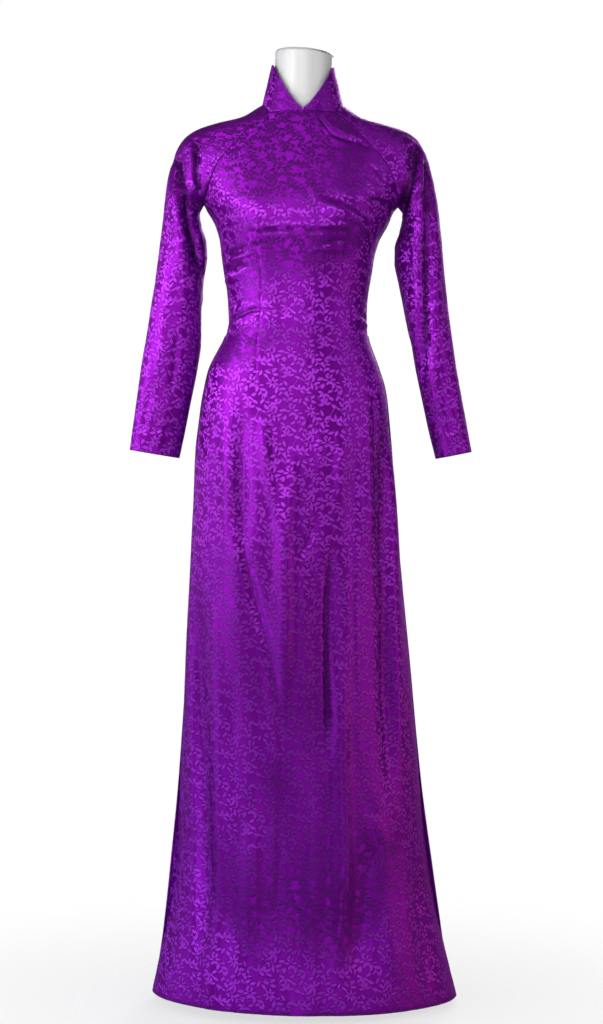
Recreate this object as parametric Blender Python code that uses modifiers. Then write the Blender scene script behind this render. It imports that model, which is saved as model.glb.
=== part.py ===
"""Ao dai tunic of satin jacquard, standing on a limbless dress form.

Metres, +Z up. The wearer's front faces -Y and the wearer's right is at -X.
The origin is the centre of the underside of the stand's base.

Every piece of cloth is an open sheet, lofted through sections worked out from
the tables below, and given its wall by a Solidify modifier. The tables are in
millimetres; a point's y is measured from the garment's own upright axis.
"""

import math

import bpy
import numpy as np

MM = 0.001

# ---------------------------------------------------------------- driving sizes
WALL = 1.5            # the cloth and its seam allowances, as one rigid wall
SEAM = 0.3            # how far each piece keeps from its seam line
SIDE_SEAM = 0.46      # the same at the side seams, whose edges lean towards each other
NAPE_SEAM = 0.9       # and at the back of the neck, where the pieces meet at a slant
NAPE_Z = 1395.0
AXIS_Y = -6.0         # the garment's axis is this far in front of the pole

HEM_Z = 12.0          # lowest point of the hem above the floor
SLIT_TOP_Z = 1066.0   # both side slits start here, a little under the waist
SLIT_HALF = (0.46, 2.5, 5.0, 11.0)        # half the gap at the four heights below
SLIT_HALF_Z = (1072.0, 1045.0, 800.0, 0.0)

BUST = dict(x=78.0, z=1234.0, out=14.0, inner=50.0, outer=40.0, over=50.0, under=40.0, bridge=8.0)

COLLAR_GAP = 0.85     # between the neckline and the foot of the collar
COLLAR_WALL = 1.6
COLLAR_TOP = dict(x=2.4, y=-1.0, half_x=50.2, half_y=50.5, z=1491.0, tilt=-0.04)

POLE_RADIUS = 12.5
BASE_RADIUS = 112.0
BASE_RIM = 7.0        # height of the base at its edge
BASE_TOP = 13.0       # and at the pole
FORM_FOOT_Z = 800.0   # flat underside of the form

# how finely each piece is lofted
ACROSS_FRONT, ACROSS_BACK, ROUND_SLEEVE, ROUND_COLLAR, ROUND_FORM = 20, 16, 14, 44, 28


def table(names, *rows):
    """A dict of columns from rows of numbers."""
    return dict(zip(names.split(), np.array(rows, float).T))


# Outline of body and skirt. left/right: edges seen from the front. front/back:
# reach from the axis. sq_*: roundness, 2 is an ellipse and more is squarer.
BODY = table(
    "z left right front back sq_front sq_back",
    (0, -238.5, 245.0, 150.5, 128.0, 2.00, 2.00),
    (12, -236.0, 242.5, 150.0, 128.0, 2.00, 2.00),
    (60, -228.0, 232.0, 148.5, 127.0, 2.00, 2.00),
    (127, -217.0, 220.0, 146.0, 126.0, 2.00, 2.00),
    (223, -205.5, 205.5, 142.5, 124.0, 2.05, 2.05),
    (319, -197.5, 193.0, 139.0, 122.0, 2.05, 2.05),
    (415, -191.0, 183.5, 135.5, 120.0, 2.05, 2.05),
    (543, -183.5, 172.0, 130.0, 118.0, 2.05, 2.05),
    (671, -178.0, 159.5, 124.0, 115.0, 2.10, 2.10),
    (799, -172.0, 148.5, 116.5, 112.0, 2.10, 2.10),
    (880, -168.5, 143.5, 110.5, 109.5, 2.10, 2.10),
    (918, -164.0, 140.0, 107.5, 108.0, 2.10, 2.10),
    (956, -159.0, 136.5, 105.0, 105.0, 2.10, 2.10),
    (982, -154.0, 132.0, 103.0, 101.5, 2.10, 2.10),
    (1007, -148.0, 124.0, 100.5, 96.0, 2.10, 2.10),
    (1033, -135.5, 114.5, 96.5, 87.0, 2.10, 2.10),
    (1058, -122.5, 106.5, 91.0, 78.0, 2.10, 2.10),
    (1072, -118.0, 104.8, 88.0, 73.5, 2.10, 2.10),
    (1084, -116.3, 104.5, 86.0, 70.0, 2.10, 2.10),
    (1110, -117.3, 105.0, 87.0, 66.0, 2.10, 2.10),
    (1135, -119.5, 108.0, 91.5, 66.5, 2.10, 2.15),
    (1161, -124.0, 112.5, 98.5, 70.5, 2.15, 2.20),
    (1186, -127.5, 116.5, 107.0, 76.5, 2.20, 2.25),
    (1212, -130.5, 124.0, 115.5, 83.0, 2.30, 2.30),
    (1238, -138.0, 138.0, 120.0, 88.0, 2.35, 2.40),
    (1263, -152.0, 149.5, 120.0, 91.0, 2.35, 2.40),
)

# The same above the armpits, where left/right are the whole shoulder's reach at
# that height: the raglan seams cut the panels off before they get there.
YOKE_FRONT = table(
    "z left right reach sq",
    (1268, -154.6, 154.6, 119.5, 2.35),
    (1275, -157.5, 157.5, 118.5, 2.30),
    (1287, -162.0, 162.0, 116.0, 2.30),
    (1306, -166.0, 166.0, 111.0, 2.30),
    (1324, -168.0, 169.0, 105.0, 2.30),
    (1338, -168.0, 169.5, 99.5, 2.30),
    (1352, -165.0, 167.5, 93.5, 2.25),
    (1370, -153.0, 156.0, 86.0, 2.20),
    (1391, -106.0, 111.0, 76.0, 2.10),
    (1412, -70.0, 75.0, 62.0, 2.00),
)
YOKE_BACK = table(
    "z left right reach sq",
    (1268, -154.6, 154.6, 91.5, 2.40),
    (1275, -157.5, 157.5, 92.0, 2.40),
    (1287, -162.0, 162.0, 93.0, 2.40),
    (1306, -166.0, 166.0, 94.0, 2.40),
    (1324, -168.0, 168.0, 94.0, 2.40),
    (1345, -168.0, 168.0, 93.0, 2.35),
    (1365, -165.0, 166.0, 90.0, 2.30),
    (1385, -158.0, 160.0, 85.0, 2.25),
    (1405, -140.0, 143.0, 78.0, 2.20),
    (1425, -100.0, 104.0, 68.0, 2.10),
    (1441, -71.0, 75.0, 59.0, 2.00),
)

# Stations of the raglan seams, neck to armpit: the seam on the front, the seam on
# the back, the crest of the shoulder and upper sleeve between them, and how far
# round its own ellipse, in degrees from the crest, the sleeve reaches each seam.
RAGLAN = "front_x front_z back_x back_z crest_x crest_z wrap_front wrap_back"
RAGLAN_LEFT = table(
    RAGLAN,
    (-51.5, 1411.0, -47.0, 1440.0, -63.2, 1429.6, 62, 62),
    (-73.2, 1390.7, -66.0, 1421.0, -104.8, 1406.7, 64, 66),
    (-93.4, 1369.9, -86.0, 1399.0, -151.2, 1396.5, 66, 68),
    (-110.4, 1351.6, -103.0, 1378.0, -183.2, 1380.0, 68, 70),
    (-123.2, 1338.0, -118.0, 1357.0, -197.6, 1360.8, 72, 74),
    (-133.7, 1323.3, -129.0, 1337.0, -205.6, 1340.0, 78, 80),
    (-140.8, 1305.2, -138.0, 1315.0, -211.5, 1316.0, 90, 92),
    (-147.2, 1287.0, -146.5, 1292.0, -215.5, 1292.0, 112, 112),
    (-152.4, 1275.6, -152.2, 1278.0, -217.8, 1279.0, 136, 136),
    (-156.0, 1271.0, -156.0, 1271.0, -219.2, 1268.0, 180, 180),
)
RAGLAN_RIGHT = table(
    RAGLAN,
    (56.3, 1411.0, 51.0, 1440.0, 66.4, 1428.5, 62, 62),
    (77.9, 1389.1, 70.0, 1420.0, 104.0, 1404.8, 64, 66),
    (98.1, 1366.8, 90.0, 1398.0, 148.0, 1393.6, 66, 68),
    (114.6, 1348.0, 107.0, 1376.5, 180.0, 1379.2, 68, 70),
    (126.5, 1334.5, 121.0, 1356.0, 196.0, 1357.6, 72, 74),
    (136.0, 1320.5, 131.5, 1336.0, 204.3, 1338.4, 78, 80),
    (143.1, 1303.5, 141.0, 1313.0, 209.6, 1317.6, 90, 92),
    (148.6, 1285.5, 148.0, 1289.5, 214.4, 1292.0, 112, 112),
    (152.6, 1273.0, 152.4, 1275.0, 216.4, 1277.0, 136, 136),
    (154.6, 1267.0, 154.6, 1267.0, 217.6, 1268.0, 180, 180),
)

# The hanging sleeves from the armpit ring to the cuff: outer and inner edge seen
# from the front, half the sleeve's depth, and how far its middle swings forward.
SLEEVE = "outer_x outer_z inner_x inner_z deep swing"
SLEEVE_LEFT = table(
    SLEEVE,
    (-219.2, 1268.0, -156.0, 1271.0, 52, 0),
    (-220.8, 1252.0, -162.4, 1256.0, 52.5, 0),
    (-223.2, 1234.4, -159.4, 1236.0, 52, 0),
    (-226.4, 1210.4, -152.0, 1210.4, 50, 0),
    (-229.6, 1183.2, -150.7, 1187.0, 48, 1),
    (-234.4, 1148.0, -156.6, 1146.4, 45, 2),
    (-240.8, 1109.6, -159.8, 1104.5, 41, 4),
    (-248.8, 1058.4, -160.2, 1052.0, 35, 6),
    (-256.0, 1013.6, -165.6, 1010.0, 31, 8),
    (-263.2, 956.0, -177.6, 949.0, 26, 10),
    (-269.1, 911.2, -187.0, 900.5, 22, 12),
    (-272.8, 879.2, -194.4, 866.0, 21, 13),
)
SLEEVE_RIGHT = table(
    SLEEVE,
    (217.6, 1268.0, 154.6, 1267.0, 52, 0),
    (219.5, 1252.0, 163.0, 1252.6, 53, 0),
    (221.6, 1231.2, 158.4, 1231.2, 53, 0),
    (224.8, 1205.6, 149.0, 1202.0, 51, 0),
    (226.9, 1183.2, 149.1, 1179.4, 49, 1),
    (231.2, 1141.6, 156.4, 1141.6, 47, 2),
    (235.5, 1100.0, 165.1, 1100.0, 47, 4),
    (241.6, 1052.0, 174.7, 1052.0, 46, 6),
    (247.2, 1013.6, 181.4, 1010.4, 43, 8),
    (256.8, 956.0, 193.3, 952.8, 38, 10),
    (264.0, 914.4, 202.6, 909.0, 35, 12),
    (271.2, 876.0, 213.6, 865.0, 34, 13),
)

# Largest folds of the skirt: a line down the panel, and how far and how wide the
# cloth stands out (+) or falls in (-) beside it.
FOLD = "x_top z_top x_low z_low wide out"
FOLDS_FRONT = table(
    FOLD,
    (-93, 950, -94, 715, 17, -6),
    (-94, 730, -40, 400, 17, -6),
    (-24, 850, -24, 510, 17, 5),
    (42, 735, 38, 385, 15, -5),
    (62, 640, 61, 80, 18, 7),
    (133, 960, 132, 340, 16, -7),
    (108, 300, 80, 60, 18, -8),
    (-75, 330, -76, 60, 18, 5),
    (-160, 660, -162, 110, 14, -6),
)
FOLDS_BACK = table(
    FOLD,
    (-92, 900, -104, 120, 20, -7),
    (-40, 820, -52, 40, 20, 6),
    (8, 880, 2, 180, 18, -6),
    (55, 780, 66, 40, 22, 7),
    (104, 900, 128, 110, 18, -7),
)

# Neck edge height of the collar as a share of its full height, by the angle from
# the centre front: its two ends slope back from the V at the throat.
COLLAR_EDGE = table(
    "angle share",
    (0, 0.03), (10, 0.17), (20, 0.34), (32, 0.54), (44, 0.72), (56, 0.86),
    (68, 0.955), (78, 1.0), (180, 1.0),
)

# The dress form, clear of the cloth all over.
FORM = table(
    "z left right front back sq",
    (800, -96, 74, 52, 54, 2.0),
    (806, -112, 90, 66, 68, 2.0),
    (822, -130, 108, 80, 82, 2.1),
    (850, -143, 120, 89, 91, 2.1),
    (885, -148, 124, 93, 95, 2.1),
    (920, -148, 125, 93, 95, 2.1),
    (956, -146, 124, 92, 92, 2.1),
    (982, -142, 120, 91, 90, 2.1),
    (1007, -137, 114, 89, 84, 2.1),
    (1033, -126, 105, 85, 76, 2.1),
    (1058, -114, 98, 81, 68, 2.1),
    (1084, -108.5, 96.5, 78, 61, 2.1),
    (1110, -109, 97, 79, 58, 2.1),
    (1135, -111, 99.5, 83, 58.5, 2.1),
    (1161, -115.5, 104, 90, 62, 2.15),
    (1186, -119, 108, 98, 68, 2.2),
    (1212, -122, 115, 107, 74, 2.25),
    (1238, -128, 128, 111, 79, 2.3),
    (1263, -138, 137, 111, 82, 2.3),
    (1287, -147, 146, 107, 84, 2.3),
    (1306, -153, 152, 102, 85, 2.3),
    (1324, -156, 156, 96, 85, 2.3),
    (1345, -157, 158, 88, 83, 2.25),
    (1362, -150, 152, 80, 81, 2.2),
    (1377, -134, 137, 71, 77, 2.1),
    (1390, -110, 113, 63, 70, 2.0),
    (1401, -86, 89, 57, 63, 2.0),
    (1412, -66, 70, 52, 57, 2.0),
    (1426, -54, 58, 48.5, 52, 2.0),
    (1445, -47.5, 52, 46.5, 48, 2.0),
    (1470, -44, 49.5, 46.0, 46.0, 2.0),
    (1514, -41.6, 51.2, 46.0, 45.0, 2.0),
)
NECK_SLOPE = -0.085   # the flat top of the neck falls this much towards +X


# ------------------------------------------------------------------- functions
def smooth(xs, ys):
    """A monotone cubic through the points: it never overshoots a table row."""
    xs, ys = np.asarray(xs, float), np.asarray(ys, float)
    if xs[0] > xs[-1]:
        xs, ys = xs[::-1], ys[::-1]
    step = np.diff(xs)
    rise = np.diff(ys) / step
    slope = np.zeros_like(ys)
    slope[0], slope[-1] = rise[0], rise[-1]
    for i in range(1, len(ys) - 1):
        if rise[i - 1] * rise[i] > 0:
            w1, w2 = 2 * step[i] + step[i - 1], step[i] + 2 * step[i - 1]
            slope[i] = (w1 + w2) / (w1 / rise[i - 1] + w2 / rise[i])

    def at(x):
        x = np.clip(np.asarray(x, float), xs[0], xs[-1])
        i = np.clip(np.searchsorted(xs, x, side="right") - 1, 0, len(xs) - 2)
        t = (x - xs[i]) / step[i]
        return (
            ys[i] * (1 + 2 * t) * (1 - t) ** 2
            + step[i] * slope[i] * t * (1 - t) ** 2
            + ys[i + 1] * t * t * (3 - 2 * t)
            - step[i] * slope[i + 1] * t * t * (1 - t)
        )

    return at


def joined(lower, upper, low_name, up_name):
    return smooth(
        np.r_[lower["z"], upper["z"]], np.r_[lower[low_name], upper[up_name]]
    )


SKIN = {
    "front": dict(
        left=joined(BODY, YOKE_FRONT, "left", "left"),
        right=joined(BODY, YOKE_FRONT, "right", "right"),
        reach=joined(BODY, YOKE_FRONT, "front", "reach"),
        sq=joined(BODY, YOKE_FRONT, "sq_front", "sq"),
        sign=-1,
        folds=FOLDS_FRONT,
    ),
    "back": dict(
        left=joined(BODY, YOKE_BACK, "left", "left"),
        right=joined(BODY, YOKE_BACK, "right", "right"),
        reach=joined(BODY, YOKE_BACK, "back", "reach"),
        sq=joined(BODY, YOKE_BACK, "sq_back", "sq"),
        sign=1,
        folds=FOLDS_BACK,
    ),
}


def bell(t):
    return np.exp(-t * t)


def bust(x, z):
    """How far the bust cups, and the cloth bridging them, stand out of the chest."""
    b = BUST
    tall = bell((z - b["z"]) / np.where(z > b["z"], b["over"], b["under"]))
    cups = sum(
        bell(s / np.where(s > 0, b["outer"], b["inner"]))
        for s in (x - b["x"], -x - b["x"])
    )
    return tall * (b["out"] * cups + b["bridge"] * bell(x / 45))


def folds(tab, x, z):
    """Sum of the folds of one panel at a point, tapering out at both ends of each."""
    total = np.zeros_like(x)
    for x1, z1, x2, z2, wide, out in zip(*tab.values()):
        t = (z1 - z) / (z1 - z2)
        line = x1 + (x2 - x1) * np.clip(t, 0, 1)
        fade = np.clip(t / 0.3, 0, 1) * np.clip((1 - t) / 0.3 + 0.15, 0, 1)
        fade = fade * fade * (3 - 2 * fade)
        total = total + out * fade * bell((x - line) / wide)
    return total


def skin(side, z, phi):
    """Point of the front or back at height z, phi radians from the middle."""
    s = SKIN[side]
    left, right, sq = s["left"](z), s["right"](z), s["sq"](z)
    sine, cosine = np.sin(phi), np.maximum(np.cos(phi), 0)
    x = (left + right) / 2 + (right - left) / 2 * np.sign(sine) * np.abs(sine) ** (2 / sq)
    reach = s["reach"](z) * cosine ** (2 / sq)
    extra = folds(s["folds"], x, z) * np.clip(cosine * 2.5, 0, 1)
    if side == "front":
        extra = extra + bust(x, z) * np.clip(cosine * 1.6, 0, 1)
    return np.stack([x, s["sign"] * (reach + extra), z], axis=-1)


def seam_angle(side, x, z):
    """The phi at which the skin reaches x at height z."""
    s = SKIN[side]
    left, right, sq = s["left"](z), s["right"](z), s["sq"](z)
    share = np.clip((x - (left + right) / 2) / ((right - left) / 2), -1, 1)
    return np.arcsin(np.sign(share) * np.abs(share) ** (sq / 2))


def raglan(tab, side, steps):
    """(z, phi) of the raglan seam at each station, neck to armpit."""
    at = np.linspace(0, 1, len(tab["front_x"]))
    t = np.linspace(0, 1, steps + 1)
    z = smooth(at, tab[side + "_z"])(t)
    x = smooth(at, tab[side + "_x"])(t)
    phi = seam_angle(side, x, z)
    phi[-1] = math.copysign(math.pi / 2, x[-1])
    return z, phi


CAP_STEPS = 11


def hem_height(x):
    """The hem is level to a few millimetres: a touch high at -X, low at +X."""
    return HEM_Z + 1.5 - 0.016 * x


def panel(side, across, levels):
    """Rows of points of a whole panel, hem to neckline."""
    z_left, phi_left = raglan(RAGLAN_LEFT, side, CAP_STEPS)
    z_right, phi_right = raglan(RAGLAN_RIGHT, side, CAP_STEPS)
    u = np.linspace(-1, 1, across + 1)
    rows = []
    quarter = math.pi / 2
    for level in levels:
        phi = u * quarter
        z = np.full_like(phi, level)
        if level == levels[0]:
            z = hem_height(skin(side, z, phi)[:, 0])
        rows.append(skin(side, z, phi))
    for i in range(CAP_STEPS, -1, -1):
        share = (u + 1) / 2
        phi = phi_left[i] + (phi_right[i] - phi_left[i]) * share
        z = z_left[i] + (z_right[i] - z_left[i]) * share
        rows.append(skin(side, z, phi))
    return np.array(rows)


def arc(foot, crest, wrap, deep, steps):
    """Points of a sleeve's section from its foot on a seam to its crest."""
    flat = np.array([crest[0] - foot[0], 0, crest[2] - foot[2]])
    length = np.linalg.norm(flat)
    out = flat / length
    half = length / (1 - math.cos(wrap))
    centre = crest - out * half
    sign = -1 if deep < 0 else 1
    if wrap < math.pi - 1e-6:
        deep = sign * abs(foot[1] - crest[1]) / math.sin(wrap)
    angle = np.linspace(wrap, 0, steps + 1)[:, None]
    return centre + half * np.cos(angle) * out + deep * np.sin(angle) * np.array([0, 1, 0])


def sleeve(cap, tube, levels):
    """(open rows over the shoulder, closed rows down the arm), front edge first."""
    half = ROUND_SLEEVE // 2
    at = np.linspace(0, 1, len(cap["front_x"]))
    t = np.linspace(0, 1, CAP_STEPS + 1)
    edges = {}
    for side in ("front", "back"):
        z, phi = raglan(cap, side, CAP_STEPS)
        edges[side] = skin(side, z, phi)
    crest = np.stack(
        [smooth(at, cap["crest_x"])(t), np.zeros_like(t), smooth(at, cap["crest_z"])(t)], axis=-1
    )
    wraps = {s: np.radians(smooth(at, cap["wrap_" + s])(t)) for s in ("front", "back")}
    rows = []
    for i in range(CAP_STEPS + 1):
        front = arc(edges["front"][i], crest[i], wraps["front"][i], -tube["deep"][0], half)
        back = arc(edges["back"][i], crest[i], wraps["back"][i], tube["deep"][0], half)
        rows.append(np.concatenate([front, back[-2::-1]]))
    at = np.linspace(0, 1, len(tube["deep"]))
    for level in levels:
        v = {name: float(smooth(at, tube[name])(level)) for name in tube}
        inner = np.array([v["inner_x"], -v["swing"], v["inner_z"]])
        outer = np.array([v["outer_x"], -v["swing"], v["outer_z"]])
        front = arc(inner, outer, math.pi, -v["deep"], half)
        back = arc(inner, outer, math.pi, v["deep"], half)
        rows.append(np.concatenate([front, back[-2::-1]]))
    return np.array(rows)


def away(edge, inside, before, after, gap):
    """The edge point moved into its own piece, square to the edge, by gap."""
    along = after - before
    along = along / max(np.linalg.norm(along), 1e-9)
    inward = inside - edge
    inward = inward - along * np.dot(inward, along)
    return edge + gap * inward / max(np.linalg.norm(inward), 1e-9)


def trim(grid, gaps_start, gaps_end):
    """Both side edges of a grid drawn back from their seam lines."""
    done = grid.copy()
    last = len(grid) - 1
    for r in range(len(grid)):
        lo, hi = max(r - 1, 0), min(r + 1, last)
        done[r, 0] = away(grid[r, 0], grid[r, 1], grid[lo, 0], grid[hi, 0], gaps_start[r])
        done[r, -1] = away(grid[r, -1], grid[r, -2], grid[lo, -1], grid[hi, -1], gaps_end[r])
    return done


def material(name, colour, roughness, metallic=0.0, coat=0.0, sheen=0.0):
    made = bpy.data.materials.new(name)
    made.use_nodes = True
    shader = made.node_tree.nodes["Principled BSDF"]
    shader.inputs["Base Color"].default_value = (*colour, 1)
    shader.inputs["Roughness"].default_value = roughness
    shader.inputs["Metallic"].default_value = metallic
    shader.inputs["Coat Weight"].default_value = coat
    shader.inputs["Sheen Weight"].default_value = sheen
    made.diffuse_color = (*colour, 1)
    return made


def add(name, points, faces, finish, home):
    mesh = bpy.data.meshes.new(name)
    points = (np.asarray(points) + np.array([0, AXIS_Y, 0])) * MM
    mesh.from_pydata(points.tolist(), [], faces)
    mesh.validate()
    mesh.shade_smooth()
    mesh.materials.append(finish)
    made = bpy.data.objects.new(name, mesh)
    home.objects.link(made)
    return made


def wall(obj, thickness):
    """Gives an open sheet its wall, inwards from the side that shows."""
    mod = obj.modifiers.new("wall", "SOLIDIFY")
    mod.thickness = thickness * MM
    mod.offset = -1
    mod.use_even_offset = False
    mod.use_rim = True
    return obj


def grid_faces(rows, columns, flip=False, closed=False, start=0):
    faces = []
    wide = columns if closed else columns - 1
    for r in range(rows - 1):
        for c in range(wide):
            a, b = start + r * columns + c, start + r * columns + (c + 1) % columns
            quad = (a, b, b + columns, a + columns)
            faces.append(quad[::-1] if flip else quad)
    return faces


def build_panel(name, side, across, levels, finish, home):
    grid = panel(side, across, levels)
    zs = grid[:, 0, 2]
    half_gap = smooth(SLIT_HALF_Z, SLIT_HALF)
    gaps = np.where(zs < SLIT_HALF_Z[0], half_gap(zs), SIDE_SEAM)
    gaps[len(levels) + 1 :] = SEAM
    if side == "back":
        gaps = np.where(zs > NAPE_Z, NAPE_SEAM, gaps)
    grid = trim(grid, gaps, gaps)
    top = grid[-1].copy()
    grid[-1] = top + (grid[-2] - top) * (SEAM / np.linalg.norm(grid[-2] - top, axis=1))[:, None]
    faces = grid_faces(len(grid), across + 1, flip=(side == "back"))
    return wall(add(name, grid.reshape(-1, 3), faces, finish, home), WALL)


def build_sleeve(name, cap, tube, levels, mirrored, finish, home):
    rows = sleeve(cap, tube, levels)
    gaps = np.full(len(rows), SEAM)
    nape = np.where(rows[:, -1, 2] > NAPE_Z, NAPE_SEAM, SEAM)
    upper = trim(rows[: CAP_STEPS + 1], gaps, nape)
    upper[0] += (upper[1] - upper[0]) * (SEAM / np.linalg.norm(upper[1] - upper[0], axis=1))[:, None]
    # the armpit point, where both seams meet the arm, drops clear of the panels
    below = rows[CAP_STEPS + 1, 0]
    pit = rows[CAP_STEPS, 0]
    pit = pit + (below - pit) * (2.0 * SEAM / np.linalg.norm(below - pit))
    pit = pit + np.array([math.copysign(2.0 * SEAM, pit[0]), 0, 0])
    points = list(upper[:CAP_STEPS].reshape(-1, 3))
    columns = ROUND_SLEEVE + 1
    faces = grid_faces(CAP_STEPS, columns, flip=mirrored)
    ring = [pit] + list(upper[CAP_STEPS, 1:-1])
    start = len(points)
    points += ring
    for c in range(columns - 1):
        a = start - columns + c
        low = [start + c, start + (c + 1) % ROUND_SLEEVE]
        quad = (a, a + 1, low[1], low[0])
        faces.append(quad[::-1] if mirrored else quad)
    for row in rows[CAP_STEPS + 1 :]:
        points += list(row[:-1])
    faces += grid_faces(
        len(rows) - CAP_STEPS, ROUND_SLEEVE, flip=mirrored, closed=True, start=start
    )
    return wall(add(name, points, faces, finish, home), WALL)


def neckline(steps):
    """The closed curve of the neck seam, centre front round by -X, evenly spaced."""
    front = panel("front", 40, [HEM_Z])[-1]
    back = panel("back", 40, [HEM_Z])[-1]
    left = sleeve(RAGLAN_LEFT, SLEEVE_LEFT, [])[0]
    right = sleeve(RAGLAN_RIGHT, SLEEVE_RIGHT, [])[0]
    loop = np.concatenate(
        [front[20::-1], left[1:], back[1:], right[-2::-1], front[-2:19:-1]]
    )
    run = np.r_[0, np.cumsum(np.linalg.norm(np.diff(loop, axis=0), axis=1))]
    at = np.linspace(0, run[-1], steps + 1)
    return np.stack([np.interp(at, run, loop[:, k]) for k in range(3)], axis=-1)


def build_collar(name, finish, home):
    steps, high = ROUND_COLLAR, 3
    foot = neckline(steps)
    turn = np.linspace(0, 2 * math.pi, steps + 1)
    top = COLLAR_TOP
    tx = top["x"] - top["half_x"] * np.sin(turn)
    ty = top["y"] - top["half_y"] * np.cos(turn)
    crown = np.stack([tx, ty, top["z"] + top["tilt"] * tx + 0.06 * ty], axis=-1)
    share = smooth(COLLAR_EDGE["angle"], COLLAR_EDGE["share"])(
        180 - np.abs(180 - np.degrees(turn))
    )
    # the two ends stop just short of each other at the centre front
    foot[0, 0] -= 1.0
    foot[-1, 0] += 1.0
    grid = []
    for r in range(high + 1):
        w = (r / high) * share
        row = foot + (crown - foot) * w[:, None]
        row[:, 2] += COLLAR_GAP
        grid.append(row)
    grid = np.array(grid)
    grid[:, 0, 0], grid[:, -1, 0] = foot[0, 0], foot[-1, 0]
    faces = grid_faces(high + 1, steps + 1, flip=True)
    return wall(add(name, grid.reshape(-1, 3), faces, finish, home), COLLAR_WALL)


def build_form(name, finish, home):
    columns = {k: smooth(FORM["z"], FORM[k]) for k in FORM if k != "z"}
    levels = [z for z in FORM["z"]]
    points = []
    for z in levels:
        turn = np.linspace(-math.pi, math.pi, ROUND_FORM, endpoint=False)
        left, right, sq = (float(columns[k](z)) for k in ("left", "right", "sq"))
        sine, cosine = np.sin(turn), np.cos(turn)
        x = (left + right) / 2 + (right - left) / 2 * np.sign(sine) * np.abs(sine) ** (2 / sq)
        reach = np.where(cosine > 0, columns["front"](z), columns["back"](z))
        y = -np.sign(cosine) * reach * np.abs(cosine) ** (2 / sq)
        y = y - np.where(cosine > 0, bust(x, z) * np.clip(cosine * 1.6, 0, 1), 0)
        height = np.full_like(x, z)
        if z == levels[-1]:
            height = z + NECK_SLOPE * x
        points += np.stack([x, y, height], axis=-1).tolist()
    faces = grid_faces(len(levels), ROUND_FORM, closed=True)
    faces.append(list(range(ROUND_FORM))[::-1])
    last = len(points) - ROUND_FORM
    faces.append([last + i for i in range(ROUND_FORM)])
    return add(name, points, faces, finish, home)


def build_pole(name, finish, home):
    low, high = BASE_TOP + SEAM, FORM_FOOT_Z - SEAM
    bpy.ops.mesh.primitive_cylinder_add(
        vertices=28, radius=POLE_RADIUS * MM, depth=(high - low) * MM,
        location=(0, 0, (high + low) / 2 * MM),
    )
    made = bpy.context.object
    made.name = made.data.name = name
    made.data.materials.append(finish)
    made.data.shade_smooth()
    made.data.set_sharp_from_angle(angle=math.radians(40))
    for other in list(made.users_collection):
        other.objects.unlink(made)
    home.objects.link(made)
    return made


def build_base(name, finish, home):
    """A shallow turned disc: its profile runs from the top centre down its rim."""
    profile = [(0.0, BASE_TOP), (POLE_RADIUS + 8, BASE_TOP), (70, 11.2), (101, 9.0)]
    profile += [(BASE_RADIUS - 2.0, BASE_RIM + 0.6), (BASE_RADIUS, BASE_RIM - 1.6)]
    profile += [(BASE_RADIUS, 1.0), (BASE_RADIUS - 1.0, 0.0), (0.0, 0.0)]
    mesh = bpy.data.meshes.new(name)
    mesh.from_pydata(
        [(x * MM, 0, z * MM) for x, z in profile], [(i, i + 1) for i in range(len(profile) - 1)], []
    )
    made = bpy.data.objects.new(name, mesh)
    home.objects.link(made)
    mesh.materials.append(finish)
    mod = made.modifiers.new("turn", "SCREW")
    mod.axis = "Z"
    mod.steps = mod.render_steps = 40
    mod.use_merge_vertices = True
    mod.merge_threshold = 0.00002
    mod.use_smooth_shade = True
    return made


# ----------------------------------------------------------------------- build
for old in list(bpy.data.objects):
    bpy.data.objects.remove(old, do_unlink=True)

parts = bpy.data.collections.new("ao_dai_on_form")
bpy.context.scene.collection.children.link(parts)

silk = material("purple_jacquard", (0.20, 0.012, 0.42), 0.38, coat=0.0, sheen=0.3)
lacquer = material("white_form", (0.82, 0.82, 0.83), 0.25, coat=0.3)
steel = material("stand_metal", (0.62, 0.62, 0.64), 0.3, metallic=1.0)
enamel = material("base_enamel", (0.80, 0.80, 0.81), 0.35, coat=0.2)

levels = [HEM_Z, 85, 160, 240, 320, 400, 480, 560, 640, 720, 800, 870, 925, 970, 1005, 1035,
          1055, 1072, 1092, 1120, 1150, 1180, 1206, 1230, 1250]

build_panel("front_panel", "front", ACROSS_FRONT, levels, silk, parts)
build_panel("back_panel", "back", ACROSS_BACK, levels, silk, parts)
arm_levels = np.linspace(0, 1, 11)[1:]
build_sleeve("sleeve_left", RAGLAN_LEFT, SLEEVE_LEFT, arm_levels, False, silk, parts)
build_sleeve("sleeve_right", RAGLAN_RIGHT, SLEEVE_RIGHT, arm_levels, True, silk, parts)
build_collar("collar", silk, parts)
build_form("dress_form", lacquer, parts)
build_pole("stand_pole", steel, parts)
build_base("stand_base", enamel, parts)
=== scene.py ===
import math

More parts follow.
